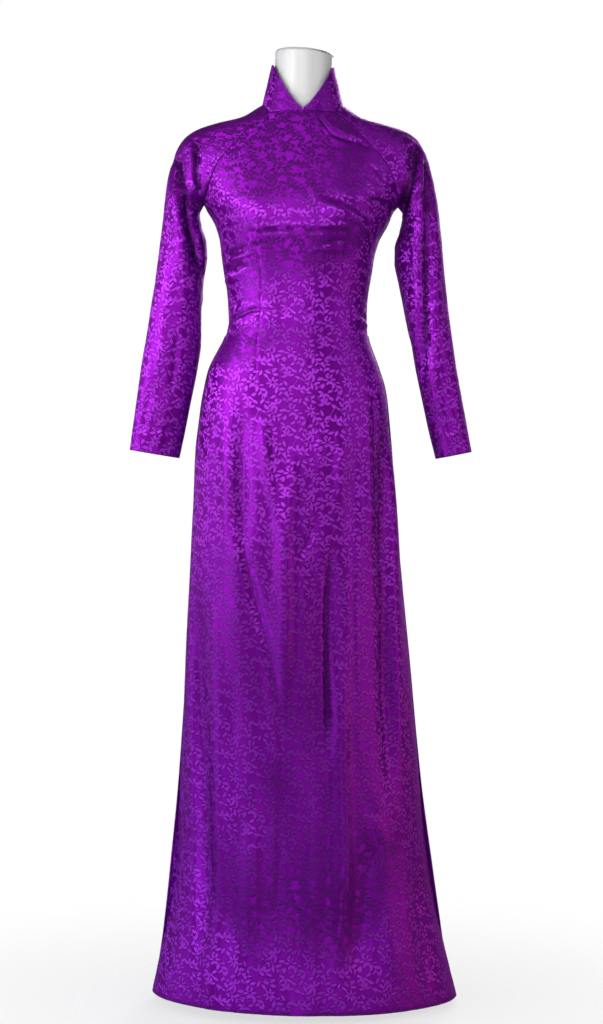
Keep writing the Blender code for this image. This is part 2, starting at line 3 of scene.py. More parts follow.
import bpy
import numpy as np
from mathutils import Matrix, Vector


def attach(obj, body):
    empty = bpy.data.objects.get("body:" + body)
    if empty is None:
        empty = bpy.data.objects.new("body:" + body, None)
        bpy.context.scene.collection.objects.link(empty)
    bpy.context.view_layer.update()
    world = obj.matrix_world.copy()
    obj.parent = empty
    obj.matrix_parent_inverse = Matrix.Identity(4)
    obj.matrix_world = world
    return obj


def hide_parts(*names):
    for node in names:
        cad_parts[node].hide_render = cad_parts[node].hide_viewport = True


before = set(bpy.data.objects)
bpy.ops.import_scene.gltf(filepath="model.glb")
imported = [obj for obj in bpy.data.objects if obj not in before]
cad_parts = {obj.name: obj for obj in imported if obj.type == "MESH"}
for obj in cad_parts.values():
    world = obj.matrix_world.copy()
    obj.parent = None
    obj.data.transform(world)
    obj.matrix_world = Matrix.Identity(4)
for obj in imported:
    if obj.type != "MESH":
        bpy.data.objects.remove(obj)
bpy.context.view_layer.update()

# =====================================================================================
# An ao dai tunic of satin jacquard on a limbless dress form.
# Metres in the scene, millimetres in the tables. Front faces -Y, +Z is up, and a y in
# the tables is measured from the garment's own upright axis.
# =====================================================================================
MM = 0.001
AXIS_Y = -6.0
HEM_Z = 12.0
SLIT_TOP_Z = 1066.0
SLIT_HALF = (0.2, 2.5, 5.0, 11.0)
SLIT_HALF_Z = (1072.0, 1045.0, 800.0, 0.0)
BUST = dict(x=78.0, z=1234.0, out=14.0, inner=50.0, outer=40.0, over=50.0, under=40.0, bridge=8.0)
COLLAR_TOP = dict(x=2.4, y=-1.0, half_x=50.2, half_y=50.5, z=1491.0, tilt=-0.04)
POLE_RADIUS = 12.5
BASE_RADIUS = 112.0
BASE_TOP = 13.0
FORM_FOOT_Z = 800.0
NECK_SLOPE = -0.085


def table(names, *rows):
    return dict(zip(names.split(), np.array(rows, float).T))


BODY = table(
    "z left right front back sq_front sq_back",
    (0, -238.5, 245.0, 150.5, 128.0, 2.00, 2.00),
    (12, -236.0, 242.5, 150.0, 128.0, 2.00, 2.00),
    (60, -228.0, 232.0, 148.5, 127.0, 2.00, 2.00),
    (127, -217.0, 220.0, 146.0, 126.0, 2.00, 2.00),
    (223, -205.5, 205.5, 142.5, 124.0, 2.05, 2.05),
    (319, -197.5, 193.0, 139.0, 122.0, 2.05, 2.05),
    (415, -191.0, 183.5, 135.5, 120.0, 2.05, 2.05),
    (543, -183.5, 172.0, 130.0, 118.0, 2.05, 2.05),
    (671, -178.0, 159.5, 124.0, 115.0, 2.10, 2.10),
    (799, -172.0, 148.5, 116.5, 112.0, 2.10, 2.10),
    (880, -168.5, 143.5, 110.5, 109.5, 2.10, 2.10),
    (918, -164.0, 140.0, 107.5, 108.0, 2.10, 2.10),
    (956, -159.0, 136.5, 105.0, 105.0, 2.10, 2.10),
    (982, -154.0, 132.0, 103.0, 101.5, 2.10, 2.10),
    (1007, -148.0, 124.0, 100.5, 96.0, 2.10, 2.10),
    (1033, -135.5, 114.5, 96.5, 87.0, 2.10, 2.10),
    (1058, -122.5, 106.5, 91.0, 78.0, 2.10, 2.10),
    (1072, -118.0, 104.8, 88.0, 73.5, 2.10, 2.10),
    (1084, -116.3, 104.5, 86.0, 70.0, 2.10, 2.10),
    (1110, -117.3, 105.0, 87.0, 66.0, 2.10, 2.10),
    (1135, -119.5, 108.0, 91.5, 66.5, 2.10, 2.15),
    (1161, -124.0, 112.5, 98.5, 70.5, 2.15, 2.20),
    (1186, -127.5, 116.5, 107.0, 76.5, 2.20, 2.25),
    (1212, -130.5, 124.0, 115.5, 83.0, 2.30, 2.30),
    (1238, -138.0, 138.0, 120.0, 88.0, 2.35, 2.40),
    (1263, -152.0, 149.5, 120.0, 91.0, 2.35, 2.40),
)
YOKE_FRONT = table(
    "z left right reach sq",
    (1268, -154.6, 154.6, 119.5, 2.35),
    (1275, -157.5, 157.5, 118.5, 2.30),
    (1287, -162.0, 162.0, 116.0, 2.30),
    (1306, -166.0, 166.0, 111.0, 2.30),
    (1324, -168.0, 169.0, 105.0, 2.30),
    (1338, -168.0, 169.5, 99.5, 2.30),
    (1352, -165.0, 167.5, 93.5, 2.25),
    (1370, -153.0, 156.0, 86.0, 2.20),
    (1391, -106.0, 111.0, 76.0, 2.10),
    (1412, -70.0, 75.0, 62.0, 2.00),
)
YOKE_BACK = table(
    "z left right reach sq",
    (1268, -154.6, 154.6, 91.5, 2.40),
    (1275, -157.5, 157.5, 92.0, 2.40),
    (1287, -162.0, 162.0, 93.0, 2.40),
    (1306, -166.0, 166.0, 94.0, 2.40),
    (1324, -168.0, 168.0, 94.0, 2.40),
    (1345, -168.0, 168.0, 93.0, 2.35),
    (1365, -165.0, 166.0, 90.0, 2.30),
    (1385, -158.0, 160.0, 85.0, 2.25),
    (1405, -140.0, 143.0, 78.0, 2.20),
    (1425, -100.0, 104.0, 68.0, 2.10),
    (1441, -71.0, 75.0, 59.0, 2.00),
)
RAGLAN = "front_x front_z back_x back_z crest_x crest_z wrap_front wrap_back"
RAGLAN_LEFT = table(
    RAGLAN,
    (-51.5, 1411.0, -47.0, 1440.0, -63.2, 1429.6, 62, 62),
    (-73.2, 1390.7, -66.0, 1421.0, -104.8, 1406.7, 64, 66),
    (-93.4, 1369.9, -86.0, 1399.0, -151.2, 1396.5, 66, 68),
    (-110.4, 1351.6, -103.0, 1378.0, -183.2, 1380.0, 68, 70),
    (-123.2, 1338.0, -118.0, 1357.0, -197.6, 1360.8, 72, 74),
    (-133.7, 1323.3, -129.0, 1337.0, -205.6, 1340.0, 78, 80),
    (-140.8, 1305.2, -138.0, 1315.0, -211.5, 1316.0, 90, 92),
    (-147.2, 1287.0, -146.5, 1292.0, -215.5, 1292.0, 112, 112),
    (-152.4, 1275.6, -152.2, 1278.0, -217.8, 1279.0, 136, 136),
    (-156.0, 1271.0, -156.0, 1271.0, -219.2, 1268.0, 180, 180),
)
RAGLAN_RIGHT = table(
    RAGLAN,
    (56.3, 1411.0, 51.0, 1440.0, 66.4, 1428.5, 62, 62),
    (77.9, 1389.1, 70.0, 1420.0, 104.0, 1404.8, 64, 66),
    (98.1, 1366.8, 90.0, 1398.0, 148.0, 1393.6, 66, 68),
    (114.6, 1348.0, 107.0, 1376.5, 180.0, 1379.2, 68, 70),
    (126.5, 1334.5, 121.0, 1356.0, 196.0, 1357.6, 72, 74),
    (136.0, 1320.5, 131.5, 1336.0, 204.3, 1338.4, 78, 80),
    (143.1, 1303.5, 141.0, 1313.0, 209.6, 1317.6, 90, 92),
    (148.6, 1285.5, 148.0, 1289.5, 214.4, 1292.0, 112, 112),
    (152.6, 1273.0, 152.4, 1275.0, 216.4, 1277.0, 136, 136),
    (154.6, 1267.0, 154.6, 1267.0, 217.6, 1268.0, 180, 180),
)
SLEEVE = "outer_x outer_z inner_x inner_z deep swing"
SLEEVE_LEFT = table(
    SLEEVE,
    (-219.2, 1268.0, -156.0, 1271.0, 52, 0),
    (-220.8, 1252.0, -162.4, 1256.0, 52.5, 0),
    (-223.2, 1234.4, -159.4, 1236.0, 52, 0),
    (-226.4, 1210.4, -152.0, 1210.4, 50, 0),
    (-229.6, 1183.2, -150.7, 1187.0, 48, 1),
    (-234.4, 1148.0, -156.6, 1146.4, 45, 2),
    (-240.8, 1109.6, -159.8, 1104.5, 41, 4),
    (-248.8, 1058.4, -160.2, 1052.0, 35, 6),
    (-256.0, 1013.6, -165.6, 1010.0, 31, 8),
    (-263.2, 956.0, -177.6, 949.0, 26, 10),
    (-269.1, 911.2, -187.0, 900.5, 22, 12),
    (-272.8, 879.2, -194.4, 866.0, 21, 13),
)
SLEEVE_RIGHT = table(
    SLEEVE,
    (217.6, 1268.0, 154.6, 1267.0, 52, 0),
    (219.5, 1252.0, 163.0, 1252.6, 53, 0),
    (221.6, 1231.2, 158.4, 1231.2, 53, 0),
    (224.8, 1205.6, 149.0, 1202.0, 51, 0),
    (226.9, 1183.2, 149.1, 1179.4, 49, 1),
    (231.2, 1141.6, 156.4, 1141.6, 47, 2),
    (235.5, 1100.0, 165.1, 1100.0, 47, 4),
    (241.6, 1052.0, 174.7, 1052.0, 46, 6),
    (247.2, 1013.6, 181.4, 1010.4, 43, 8),
    (256.8, 956.0, 193.3, 952.8, 38, 10),
    (264.0, 914.4, 202.6, 909.0, 35, 12),
    (271.2, 876.0, 213.6, 865.0, 34, 13),
)
FOLD = "x_top z_top x_low z_low wide out"
FOLDS_FRONT = table(
    FOLD,
    (-93, 950, -94, 715, 17, -6),
    (-94, 730, -40, 400, 17, -6),
    (-24, 850, -24, 510, 17, 5),
    (42, 735, 38, 385, 15, -5),
    (62, 640, 61, 80, 18, 7),
    (133, 960, 132, 340, 16, -7),
    (108, 300, 80, 60, 18, -8),
    (-75, 330, -76, 60, 18, 5),
    (-160, 660, -162, 110, 14, -6),
)
FOLDS_BACK = table(
    FOLD,
    (-92, 900, -104, 120, 20, -7),
    (-40, 820, -52, 40, 20, 6),
    (8, 880, 2, 180, 18, -6),
    (55, 780, 66, 40, 22, 7),
    (104, 900, 128, 110, 18, -7),
)
COLLAR_EDGE = table(
    "angle share",
    (0, 0.03), (10, 0.17), (20, 0.34), (32, 0.54), (44, 0.72), (56, 0.86),
    (68, 0.955), (78, 1.0), (180, 1.0),
)
FORM = table(
    "z left right front back sq",
    (800, -96, 74, 52, 54, 2.0),
    (806, -112, 90, 66, 68, 2.0),
    (822, -130, 108, 80, 82, 2.1),
    (850, -143, 120, 89, 91, 2.1),
    (885, -148, 124, 93, 95, 2.1),
    (920, -148, 125, 93, 95, 2.1),
    (956, -146, 124, 92, 92, 2.1),
    (982, -142, 120, 91, 90, 2.1),
    (1007, -137, 114, 89, 84, 2.1),
    (1033, -126, 105, 85, 76, 2.1),
    (1058, -114, 98, 81, 68, 2.1),
    (1084, -108.5, 96.5, 78, 61, 2.1),
    (1110, -109, 97, 79, 58, 2.1),
    (1135, -111, 99.5, 83, 58.5, 2.1),
    (1161, -115.5, 104, 90, 62, 2.15),
    (1186, -119, 108, 98, 68, 2.2),
    (1212, -122, 115, 107, 74, 2.25),
    (1238, -128, 128, 111, 79, 2.3),
    (1263, -138, 137, 111, 82, 2.3),
    (1287, -147, 146, 107, 84, 2.3),
    (1306, -153, 152, 102, 85, 2.3),
    (1324, -156, 156, 96, 85, 2.3),
    (1345, -157, 158, 88, 83, 2.25),
    (1362, -150, 152, 80, 81, 2.2),
    (1377, -134, 137, 71, 77, 2.1),
    (1390, -110, 113, 63, 70, 2.0),
    (1401, -86, 89, 57, 63, 2.0),
    (1412, -66, 70, 52, 57, 2.0),
    (1426, -54, 58, 48.5, 52, 2.0),
    (1445, -47.5, 52, 46.5, 48, 2.0),
    (1470, -44, 49.5, 46.0, 46.0, 2.0),
    (1514, -41.6, 51.2, 46.0, 45.0, 2.0),
)

# Creases. path: points (x, z) along the crease; left, right: half-width on either side of
# it (above and below, for one that runs across); out: height, minus for a trough; top,
# low: over what length it dies away at its two ends (left and right ends if it runs across).
DOWN = "path left right out top low"


def crease(path, left, right, out, top, low):
    return dict(path=np.array(path, float), left=left, right=right, out=out, top=top, low=low)


SKIRT_FRONT = [
    # the long slanting fold right of the bright hip: a ridge with a steep far side
    crease([(-108, 990), (-108, 840), (-102, 740), (-86, 655), (-62, 568), (-48, 500), (-38, 400), (-34, 310)], 24, 7, 4.7, 160, 130),
    crease([(-94, 940), (-92, 730), (-76, 655), (-52, 568), (-38, 500), (-28, 413)], 6, 9, -3.3, 150, 120),
    crease([(-60, 950), (-54, 870), (-44, 800), (-30, 730)], 9, 7, 4.1, 60, 90),
    # the edge where the middle of the skirt turns away from the light
    crease([(-12, 890), (-14, 820), (-24, 740), (-22, 660), (-24, 524), (-28, 400)], 15, 7, 4.4, 60, 170),
    crease([(27, 774), (11, 738), (-8, 700)], 5, 5, -2.0, 25, 26),
    crease([(32, 930), (26, 820)], 9, 7, 2.4, 60, 60),
    crease([(46, 730), (40, 670), (37, 600), (38, 500), (41, 380)], 3.6, 6, -4.9, 50, 110),
    crease([(4, 720), (6, 560), (3, 400)], 10, 8, 2.8, 90, 120),
    crease([(66, 560), (64, 420), (66, 280), (68, 100)], 13, 8, 4.6, 150, 150),
    crease([(84, 380), (86, 240), (88, 80)], 9, 14, -1.6, 110, 110),
    # right hip: a thin crisp pleat line, then the deep valley beside the side seam
    crease([(112, 985), (114, 930), (117, 786), (119, 716)], 3.0, 4.5, -3.6, 70, 40),
    crease([(104, 960), (107, 786), (109, 716)], 8, 4, 2.8, 80, 50),
    crease([(127, 738), (128, 690)], 2.6, 3.4, -3.3, 12, 22),
    crease([(80, 720), (81, 600), (84, 470)], 2.6, 3.4, -1.2, 60, 80),
    crease([(130, 960), (128, 733), (130, 520), (135, 400), (136, 300)], 8, 12, -7.0, 110, 230),
    crease([(136, 650), (137, 520), (141, 380), (143, 270)], 14, 16, -4.2, 130, 130),
    crease([(146, 930), (145, 720), (149, 520), (158, 350)], 7, 10, 4.6, 120, 160),
    crease([(112, 300), (108, 170), (104, 50)], 12, 16, -1.0, 110, 90),
    # left side: a flat strip along the edge that ends in a crisp fold
    crease([(-172, 760), (-171, 600), (-168, 400), (-167, 240), (-174, 90)], 14, 8, 4.4, 260, 110),
    crease([(-167, 720), (-162, 520), (-154, 400), (-150, 240), (-153, 130), (-162, 56)], 8, 15, -6.4, 140, 60),
    crease([(-138, 660), (-130, 400), (-126, 120)], 10, 14, 3.4, 100, 170),
    crease([(-112, 560), (-106, 420), (-108, 240)], 12, 10, -2.6, 110, 140),
    crease([(-80, 470), (-76, 300), (-78, 80)], 17, 12, 3.9, 130, 140),
    crease([(-34, 420), (-30, 300), (-36, 100)], 10, 14, -3.2, 110, 120),
    crease([(-99, 330), (-101, 160), (-97, 40)], 13, 11, -2.3, 130, 90),
    crease([(12, 420), (16, 240), (14, 60)], 13, 13, 3.2, 130, 120),
    crease([(42, 420), (43, 260), (44, 90)], 10, 13, -3.0, 100, 130),
    crease([(-8, 270), (-4, 130), (-8, 30)], 12, 12, -2.3, 130, 80),
    crease([(132, 210), (138, 120), (146, 40)], 16, 14, 2.8, 80, 60),
    crease([(182, 260), (186, 140), (192, 30)], 14, 12, -3.1, 90, 50),
    crease([(-199, 330), (-204, 200), (-212, 60)], 10, 9, -2.3, 90, 70),
    crease([(113, 322), (125, 282), (137, 240)], 10, 10, 1.4, 36, 36),
    crease([(96, 352), (106, 320), (118, 284)], 9, 9, -1.1, 34, 34),
    crease([(-128, 930), (-132, 820), (-130, 720)], 14, 10, -2.3, 90, 90),
    crease([(84, 900), (82, 800), (86, 690)], 12, 9, -2.8, 90, 90),
    crease([(64, 930), (62, 840), (58, 760)], 10, 10, 2.4, 80, 80),
]
ACROSS_FRONT = [
    # pulls between the bust cups and under them
    crease([(-78, 1218), (-22, 1221), (30, 1220), (74, 1221)], 4.0, 2.6, 2.1, 14, 18),
    crease([(-70, 1211), (-40, 1212), (-12, 1213)], 2.6, 3.2, -1.5, 14, 22),
    crease([(6, 1212), (40, 1213), (74, 1212)], 2.6, 3.4, -1.6, 20, 12),
    crease([(13, 1186), (40, 1187), (66, 1188)], 3.2, 2.6, 1.7, 14, 14),
    crease([(36, 1196), (52, 1199), (70, 1200)], 2.6, 2.8, -2.2, 10, 9),
    crease([(-71, 1196), (-50, 1196)], 2.6, 2.8, -1.5, 7, 12),
    crease([(-74, 1204), (-44, 1205)], 3.0, 2.6, 1.0, 8, 16),
    # the far cup's lower and outer edge
    crease([(26, 1266), (60, 1259), (91, 1246), (112, 1222)], 12, 5, -3.8, 26, 12),
    crease([(30, 1254), (58, 1247), (86, 1235), (106, 1213)], 5, 11, 3.0, 22, 12),
    # pulls from the near side seam
    crease([(-118, 1183), (-108, 1187), (-88, 1190)], 3.8, 4.2, -4.6, 10, 14),
    crease([(-116, 1172), (-104, 1177), (-80, 1180)], 3.8, 3.4, 3.6, 12, 14),
    crease([(-116, 1158), (-104, 1163), (-82, 1167)], 3.4, 3.6, -3.8, 10, 12),
    crease([(-126, 1146), (-104, 1152), (-88, 1155)], 3.2, 3.6, 1.4, 8, 14),
    # waist
    crease([(-118, 1082), (-98, 1091), (-81, 1096), (-62, 1098)], 3.2, 3.6, -3.4, 6, 14),
    crease([(-118, 1074), (-98, 1082), (-76, 1088)], 3.4, 3.0, 1.5, 6, 14),
    crease([(-112, 1106), (-90, 1110), (-70, 1109)], 3.2, 3.4, -1.2, 8, 14),
    crease([(84, 1100), (96, 1093), (108, 1083)], 3.0, 3.2, -2.6, 9, 5),
    crease([(80, 1092), (94, 1084), (108, 1074)], 3.2, 3.0, 1.9, 9, 5),
    crease([(76, 1076), (92, 1070), (108, 1064)], 3.0, 3.4, -1.2, 10, 6),
    crease([(70, 1112), (90, 1108), (106, 1102)], 3.2, 3.6, -1.2, 12, 6),
    crease([(-30, 1116), (0, 1113), (34, 1115)], 4.0, 4.5, -0.7, 18, 18),
    crease([(-22, 1088), (10, 1090), (42, 1086)], 4.5, 4.0, 0.6, 18, 18),
    # drags under the collar
    crease([(-84, 1389), (-58, 1397), (-32, 1401), (-8, 1402)], 2.6, 3.4, -1.9, 12, 14),
    crease([(-80, 1381), (-52, 1389), (-24, 1394)], 3.4, 3.0, 1.4, 12, 18),
    crease([(-62, 1375), (-42, 1380), (-20, 1384)], 3.0, 3.6, -1.4, 12, 14),
    crease([(24, 1401), (36, 1386), (48, 1370), (72, 1361), (106, 1351)], 3.0, 4.2, -2.6, 8, 14),
    crease([(30, 1404), (48, 1384), (74, 1371), (104, 1360)], 4.4, 3.2, 1.6, 8, 14),
    crease([(34, 1380), (52, 1360), (80, 1350)], 4.0, 4.0, 0.9, 10, 16),
    crease([(-120, 1318), (-96, 1322), (-72, 1318)], 4.5, 5.0, -1.0, 10, 20),
    crease([(104, 1322), (118, 1310), (132, 1296)], 3.6, 4.2, -1.6, 12, 8),
    crease([(98, 1296), (118, 1284), (140, 1276)], 4.2, 4.2, 1.5, 12, 6),
    crease([(106, 1270), (124, 1264), (142, 1262)], 4.0, 4.4, -2.4, 12, 5),
]
SKIRT_BACK = [
    crease([(-112, 960), (-112, 760), (-104, 560), (-112, 330)], 10, 6, -4.2, 130, 160),
    crease([(-96, 930), (-94, 740), (-88, 540), (-92, 260)], 9, 14, 3.8, 120, 180),
    crease([(-58, 860), (-62, 640), (-54, 420), (-60, 150)], 16, 6.5, 4.4, 120, 110),
    crease([(-44, 800), (-47, 600), (-40, 400)], 5, 8, -3.6, 110, 140),
    crease([(-12, 900), (-6, 700), (-4, 480), (0, 260)], 9, 6, -4.2, 120, 150),
    crease([(14, 620), (16, 420), (12, 120)], 12, 10, 3.2, 140, 70),
    crease([(46, 880), (50, 660), (56, 400), (60, 120)], 8, 17, 4.4, 130, 90),
    crease([(34, 700), (36, 540), (42, 320)], 7, 5, -3.8, 110, 130),
    crease([(96, 940), (100, 720), (112, 470), (122, 220)], 6, 9, -5.0, 140, 140),
    crease([(112, 880), (118, 640), (132, 380), (144, 140)], 14, 8, 3.6, 130, 110),
    crease([(-146, 700), (-150, 480), (-158, 180)], 13, 5, 4.0, 140, 100),
    crease([(-136, 620), (-139, 420), (-146, 160)], 5, 8, -3.6, 120, 90),
    crease([(-178, 300), (-184, 160), (-190, 40)], 11, 12, -2.2, 100, 60),
    crease([(156, 420), (164, 260), (178, 60)], 7, 12, -3.2, 110, 60),
    crease([(-20, 240), (-24, 140), (-22, 30)], 12, 9, -2.6, 90, 50),
    crease([(90, 300), (92, 160), (96, 40)], 12, 12, -2.4, 100, 50),
    crease([(76, 985), (78, 900), (74, 800)], 5, 7, -2.2, 70, 80),
    crease([(-78, 990), (-80, 910), (-76, 830)], 7, 5, -2.0, 70, 80),
]
ACROSS_BACK = [
    crease([(-112, 1098), (-88, 1104), (-58, 1103), (-30, 1098)], 3.6, 3.2, -2.2, 8, 22),
    crease([(-112, 1084), (-84, 1091), (-52, 1092)], 3.4, 3.8, 2.0, 8, 20),
    crease([(28, 1099), (58, 1105), (84, 1104), (102, 1098)], 3.4, 3.4, -2.3, 20, 8),
    crease([(40, 1088), (70, 1092), (102, 1086)], 3.6, 3.8, 1.8, 18, 8),
    crease([(-24, 1112), (4, 1108), (32, 1112)], 4.2, 4.4, -1.5, 18, 18),
    crease([(-30, 1126), (4, 1122), (38, 1127)], 4.4, 4.2, 1.2, 18, 18),
    crease([(-118, 1180), (-96, 1188), (-70, 1186)], 3.6, 4.2, -1.8, 6, 20),
    crease([(66, 1184), (92, 1186), (112, 1178)], 3.8, 4.2, -1.9, 18, 6),
    crease([(-132, 1246), (-108, 1240), (-78, 1244)], 4.0, 4.6, -1.8, 6, 24),
    crease([(76, 1246), (104, 1241), (132, 1248)], 4.0, 4.6, -1.7, 22, 6),
    crease([(-118, 1328), (-90, 1318), (-60, 1316)], 4.2, 4.8, -1.3, 8, 22),
    crease([(58, 1318), (88, 1320), (118, 1330)], 4.4, 4.8, -1.3, 20, 8),
    crease([(-44, 1414), (-20, 1408), (10, 1407), (44, 1414)], 3.6, 4.4, -1.4, 14, 14),
    crease([(-52, 1396), (-14, 1389), (24, 1390), (56, 1398)], 4.4, 4.0, 1.1, 18, 18),
]
SLEEVE_FOLDS_LEFT = [
    crease([(-206, 1350), (-202, 1300), (-196, 1262), (-187, 1224), (-182, 1190), (-173, 1150), (-166, 1112)], 14, 6, 4.6, 20, 34),
    crease([(-198, 1350), (-189, 1300), (-179, 1266), (-171, 1228), (-164, 1196), (-158, 1150)], 14, 4, -9.0, 14, 34),
    crease([(-184, 1372), (-174, 1345), (-168, 1320), (-167, 1292)], 6, 4, 2.6, 20, 18),
    crease([(-172, 1376), (-169, 1340), (-167, 1306), (-159, 1276)], 3.4, 8, -7.0, 14, 10),
    crease([(-171, 1240), (-177, 1200), (-176, 1168), (-168, 1130)], 4, 5, -2.4, 30, 26),
    crease([(-186, 1226), (-189, 1180), (-186, 1130), (-178, 1086)], 10, 5, 2.6, 30, 36),
    crease([(-206, 1290), (-210, 1230), (-214, 1160)], 7, 8, -1.5, 40, 50),
    crease([(-214, 1120), (-220, 1050), (-230, 980)], 9, 7, 1.7, 50, 50),
    crease([(-196, 1080), (-200, 1020), (-210, 950)], 7, 6, -1.9, 40, 50),
    crease([(-180, 1040), (-186, 980), (-198, 920)], 6, 6, 1.6, 40, 40),
    crease([(-236, 1000), (-246, 940), (-252, 892)], 7, 7, -1.6, 40, 24),
    crease([(-214, 950), (-222, 910), (-228, 880)], 6, 6, 1.3, 30, 16),
]
SLEEVE_FOLDS_RIGHT = [
    crease([(198, 1352), (199, 1285), (198, 1224), (197, 1163), (194, 1071), (190, 990)], 5, 9, -8.5, 30, 60),
    crease([(186, 1335), (185, 1270), (184, 1197), (182, 1130), (181, 1070), (178, 1010)], 12, 4.6, 3.0, 36, 50),
    crease([(210, 1300), (210, 1200), (210, 1100), (209, 1020)], 8, 12, 2.2, 50, 60),
    crease([(190, 1366), (183, 1319), (174, 1294), (166, 1266), (160, 1240)], 17, 4.5, -9.0, 16, 14),
    crease([(191, 1346), (185, 1318), (177, 1285), (170, 1256), (166, 1225)], 4.2, 10, 3.4, 16, 24),
    crease([(165, 1240), (166, 1206), (172, 1160)], 6, 5, -2.2, 26, 30),
    crease([(224, 1180), (228, 1110), (232, 1040)], 7, 8, -1.5, 44, 50),
    crease([(200, 1040), (210, 980), (220, 920)], 8, 6, 1.7, 40, 40),
    crease([(214, 1020), (226, 950), (238, 890)], 6, 7, -1.9, 40, 30),
    crease([(236, 1000), (244, 940), (254, 890)], 8, 7, 1.5, 40, 24),
]
SLEEVE_ACROSS_LEFT = [
    crease([(-206, 1156), (-188, 1148), (-168, 1150)], 4.0, 4.4, -1.6, 12, 12),
    crease([(-224, 1096), (-204, 1086), (-178, 1090)], 4.4, 4.0, -1.2, 14, 12),
    crease([(-252, 918), (-230, 910), (-206, 914)], 3.8, 4.2, -0.9, 12, 12),
    crease([(-196, 1366), (-178, 1376), (-154, 1380)], 3.4, 3.8, -1.4, 12, 14),
    crease([(-150, 1384), (-124, 1390), (-98, 1388)], 3.2, 3.8, -1.1, 12, 14),
]
SLEEVE_ACROSS_RIGHT = [
    crease([(170, 1152), (190, 1150), (210, 1158)], 4.0, 4.4, -1.4, 12, 12),
    crease([(180, 1092), (204, 1088), (226, 1098)], 4.4, 4.0, -1.2, 12, 14),
    crease([(212, 914), (232, 910), (252, 918)], 3.8, 4.2, -0.9, 12, 12),
    crease([(150, 1380), (174, 1374), (194, 1362)], 3.4, 3.8, -1.3, 14, 12),
    crease([(96, 1386), (122, 1388), (148, 1382)], 3.2, 3.8, 1.2, 14, 12),
]
DART_LEFT = [(-90, 1244), (-80, 1218), (-69, 1188), (-63, 1140), (-66, 1091), (-70, 1040), (-71, 976)]
DART_RIGHT = [(74, 1226), (69, 1204), (65, 1180), (63, 1158)]
BACK_DART_LEFT = [(-70, 1238), (-62, 1180), (-56, 1120), (-56, 1085), (-62, 1040), (-66, 985)]
BACK_DART_RIGHT = [(68, 1238), (60, 1180), (54, 1120), (53, 1085), (58, 1040), (63, 985)]


# ------------------------------------------------------------------ the CAD's own shape
def smooth(xs, ys):
    """A monotone cubic through the points."""
    xs, ys = np.asarray(xs, float), np.asarray(ys, float)
    if xs[0] > xs[-1]:
        xs, ys = xs[::-1], ys[::-1]
    step = np.diff(xs)
    rise = np.diff(ys) / step
    slope = np.zeros_like(ys)
    slope[0], slope[-1] = rise[0], rise[-1]
    for i in range(1, len(ys) - 1):
        if rise[i - 1] * rise[i] > 0:
            w1, w2 = 2 * step[i] + step[i - 1], step[i] + 2 * step[i - 1]
            slope[i] = (w1 + w2) / (w1 / rise[i - 1] + w2 / rise[i])

    def at(x):
        x = np.clip(np.asarray(x, float), xs[0], xs[-1])
        i = np.clip(np.searchsorted(xs, x, side="right") - 1, 0, len(xs) - 2)
        t = (x - xs[i]) / step[i]
        return (
            ys[i] * (1 + 2 * t) * (1 - t) ** 2
            + step[i] * slope[i] * t * (1 - t) ** 2
            + ys[i + 1] * t * t * (3 - 2 * t)
            - step[i] * slope[i + 1] * t * t * (1 - t)
        )

    return at


def joined(lower, upper, low_name, up_name):
    return smooth(np.r_[lower["z"], upper["z"]], np.r_[lower[low_name], upper[up_name]])


SKIN = {
    "front": dict(
        left=joined(BODY, YOKE_FRONT, "left", "left"),
        right=joined(BODY, YOKE_FRONT, "right", "right"),
        reach=joined(BODY, YOKE_FRONT, "front", "reach"),
        sq=joined(BODY, YOKE_FRONT, "sq_front", "sq"),
        sign=-1,
        folds=FOLDS_FRONT,
    ),
    "back": dict(
        left=joined(BODY, YOKE_BACK, "left", "left"),
        right=joined(BODY, YOKE_BACK, "right", "right"),
        reach=joined(BODY, YOKE_BACK, "back", "reach"),
        sq=joined(BODY, YOKE_BACK, "sq_back", "sq"),
        sign=1,
        folds=FOLDS_BACK,
    ),
}


def bell(t):
    return np.exp(-t * t)


def ramp(t):
    t = np.clip(t, 0, 1)
    return t * t * (3 - 2 * t)


def bust(x, z):
    b = BUST
    tall = bell((z - b["z"]) / np.where(z > b["z"], b["over"], b["under"]))
    cups = sum(
        bell(s / np.where(s > 0, b["outer"], b["inner"])) for s in (x - b["x"], -x - b["x"])
    )
    return tall * (b["out"] * cups + b["bridge"] * bell(x / 45))


def folds(tab, x, z):
    total = np.zeros_like(x)
    for x1, z1, x2, z2, wide, out in zip(*tab.values()):
        t = (z1 - z) / (z1 - z2)
        line = x1 + (x2 - x1) * np.clip(t, 0, 1)
        fade = np.clip(t / 0.3, 0, 1) * np.clip((1 - t) / 0.3 + 0.15, 0, 1)
        fade = fade * fade * (3 - 2 * fade)
        total = total + out * fade * bell((x - line) / wide)
    return total


def skin(side, z, phi):
    s = SKIN[side]
    left, right, sq = s["left"](z), s["right"](z), s["sq"](z)
    sine, cosine = np.sin(phi), np.maximum(np.cos(phi), 0)
    x = (left + right) / 2 + (right - left) / 2 * np.sign(sine) * np.abs(sine) ** (2 / sq)
    reach = s["reach"](z) * cosine ** (2 / sq)
    extra = folds(s["folds"], x, z) * np.clip(cosine * 2.5, 0, 1)
    if side == "front":
        extra = extra + bust(x, z) * np.clip(cosine * 1.6, 0, 1)
    return np.stack([x, s["sign"] * (reach + extra), z], axis=-1)


def seam_angle(side, x, z):
    s = SKIN[side]
    left, right, sq = s["left"](z), s["right"](z), s["sq"](z)
    share = np.clip((x - (left + right) / 2) / ((right - left) / 2), -1, 1)
    return np.arcsin(np.sign(share) * np.abs(share) ** (sq / 2))


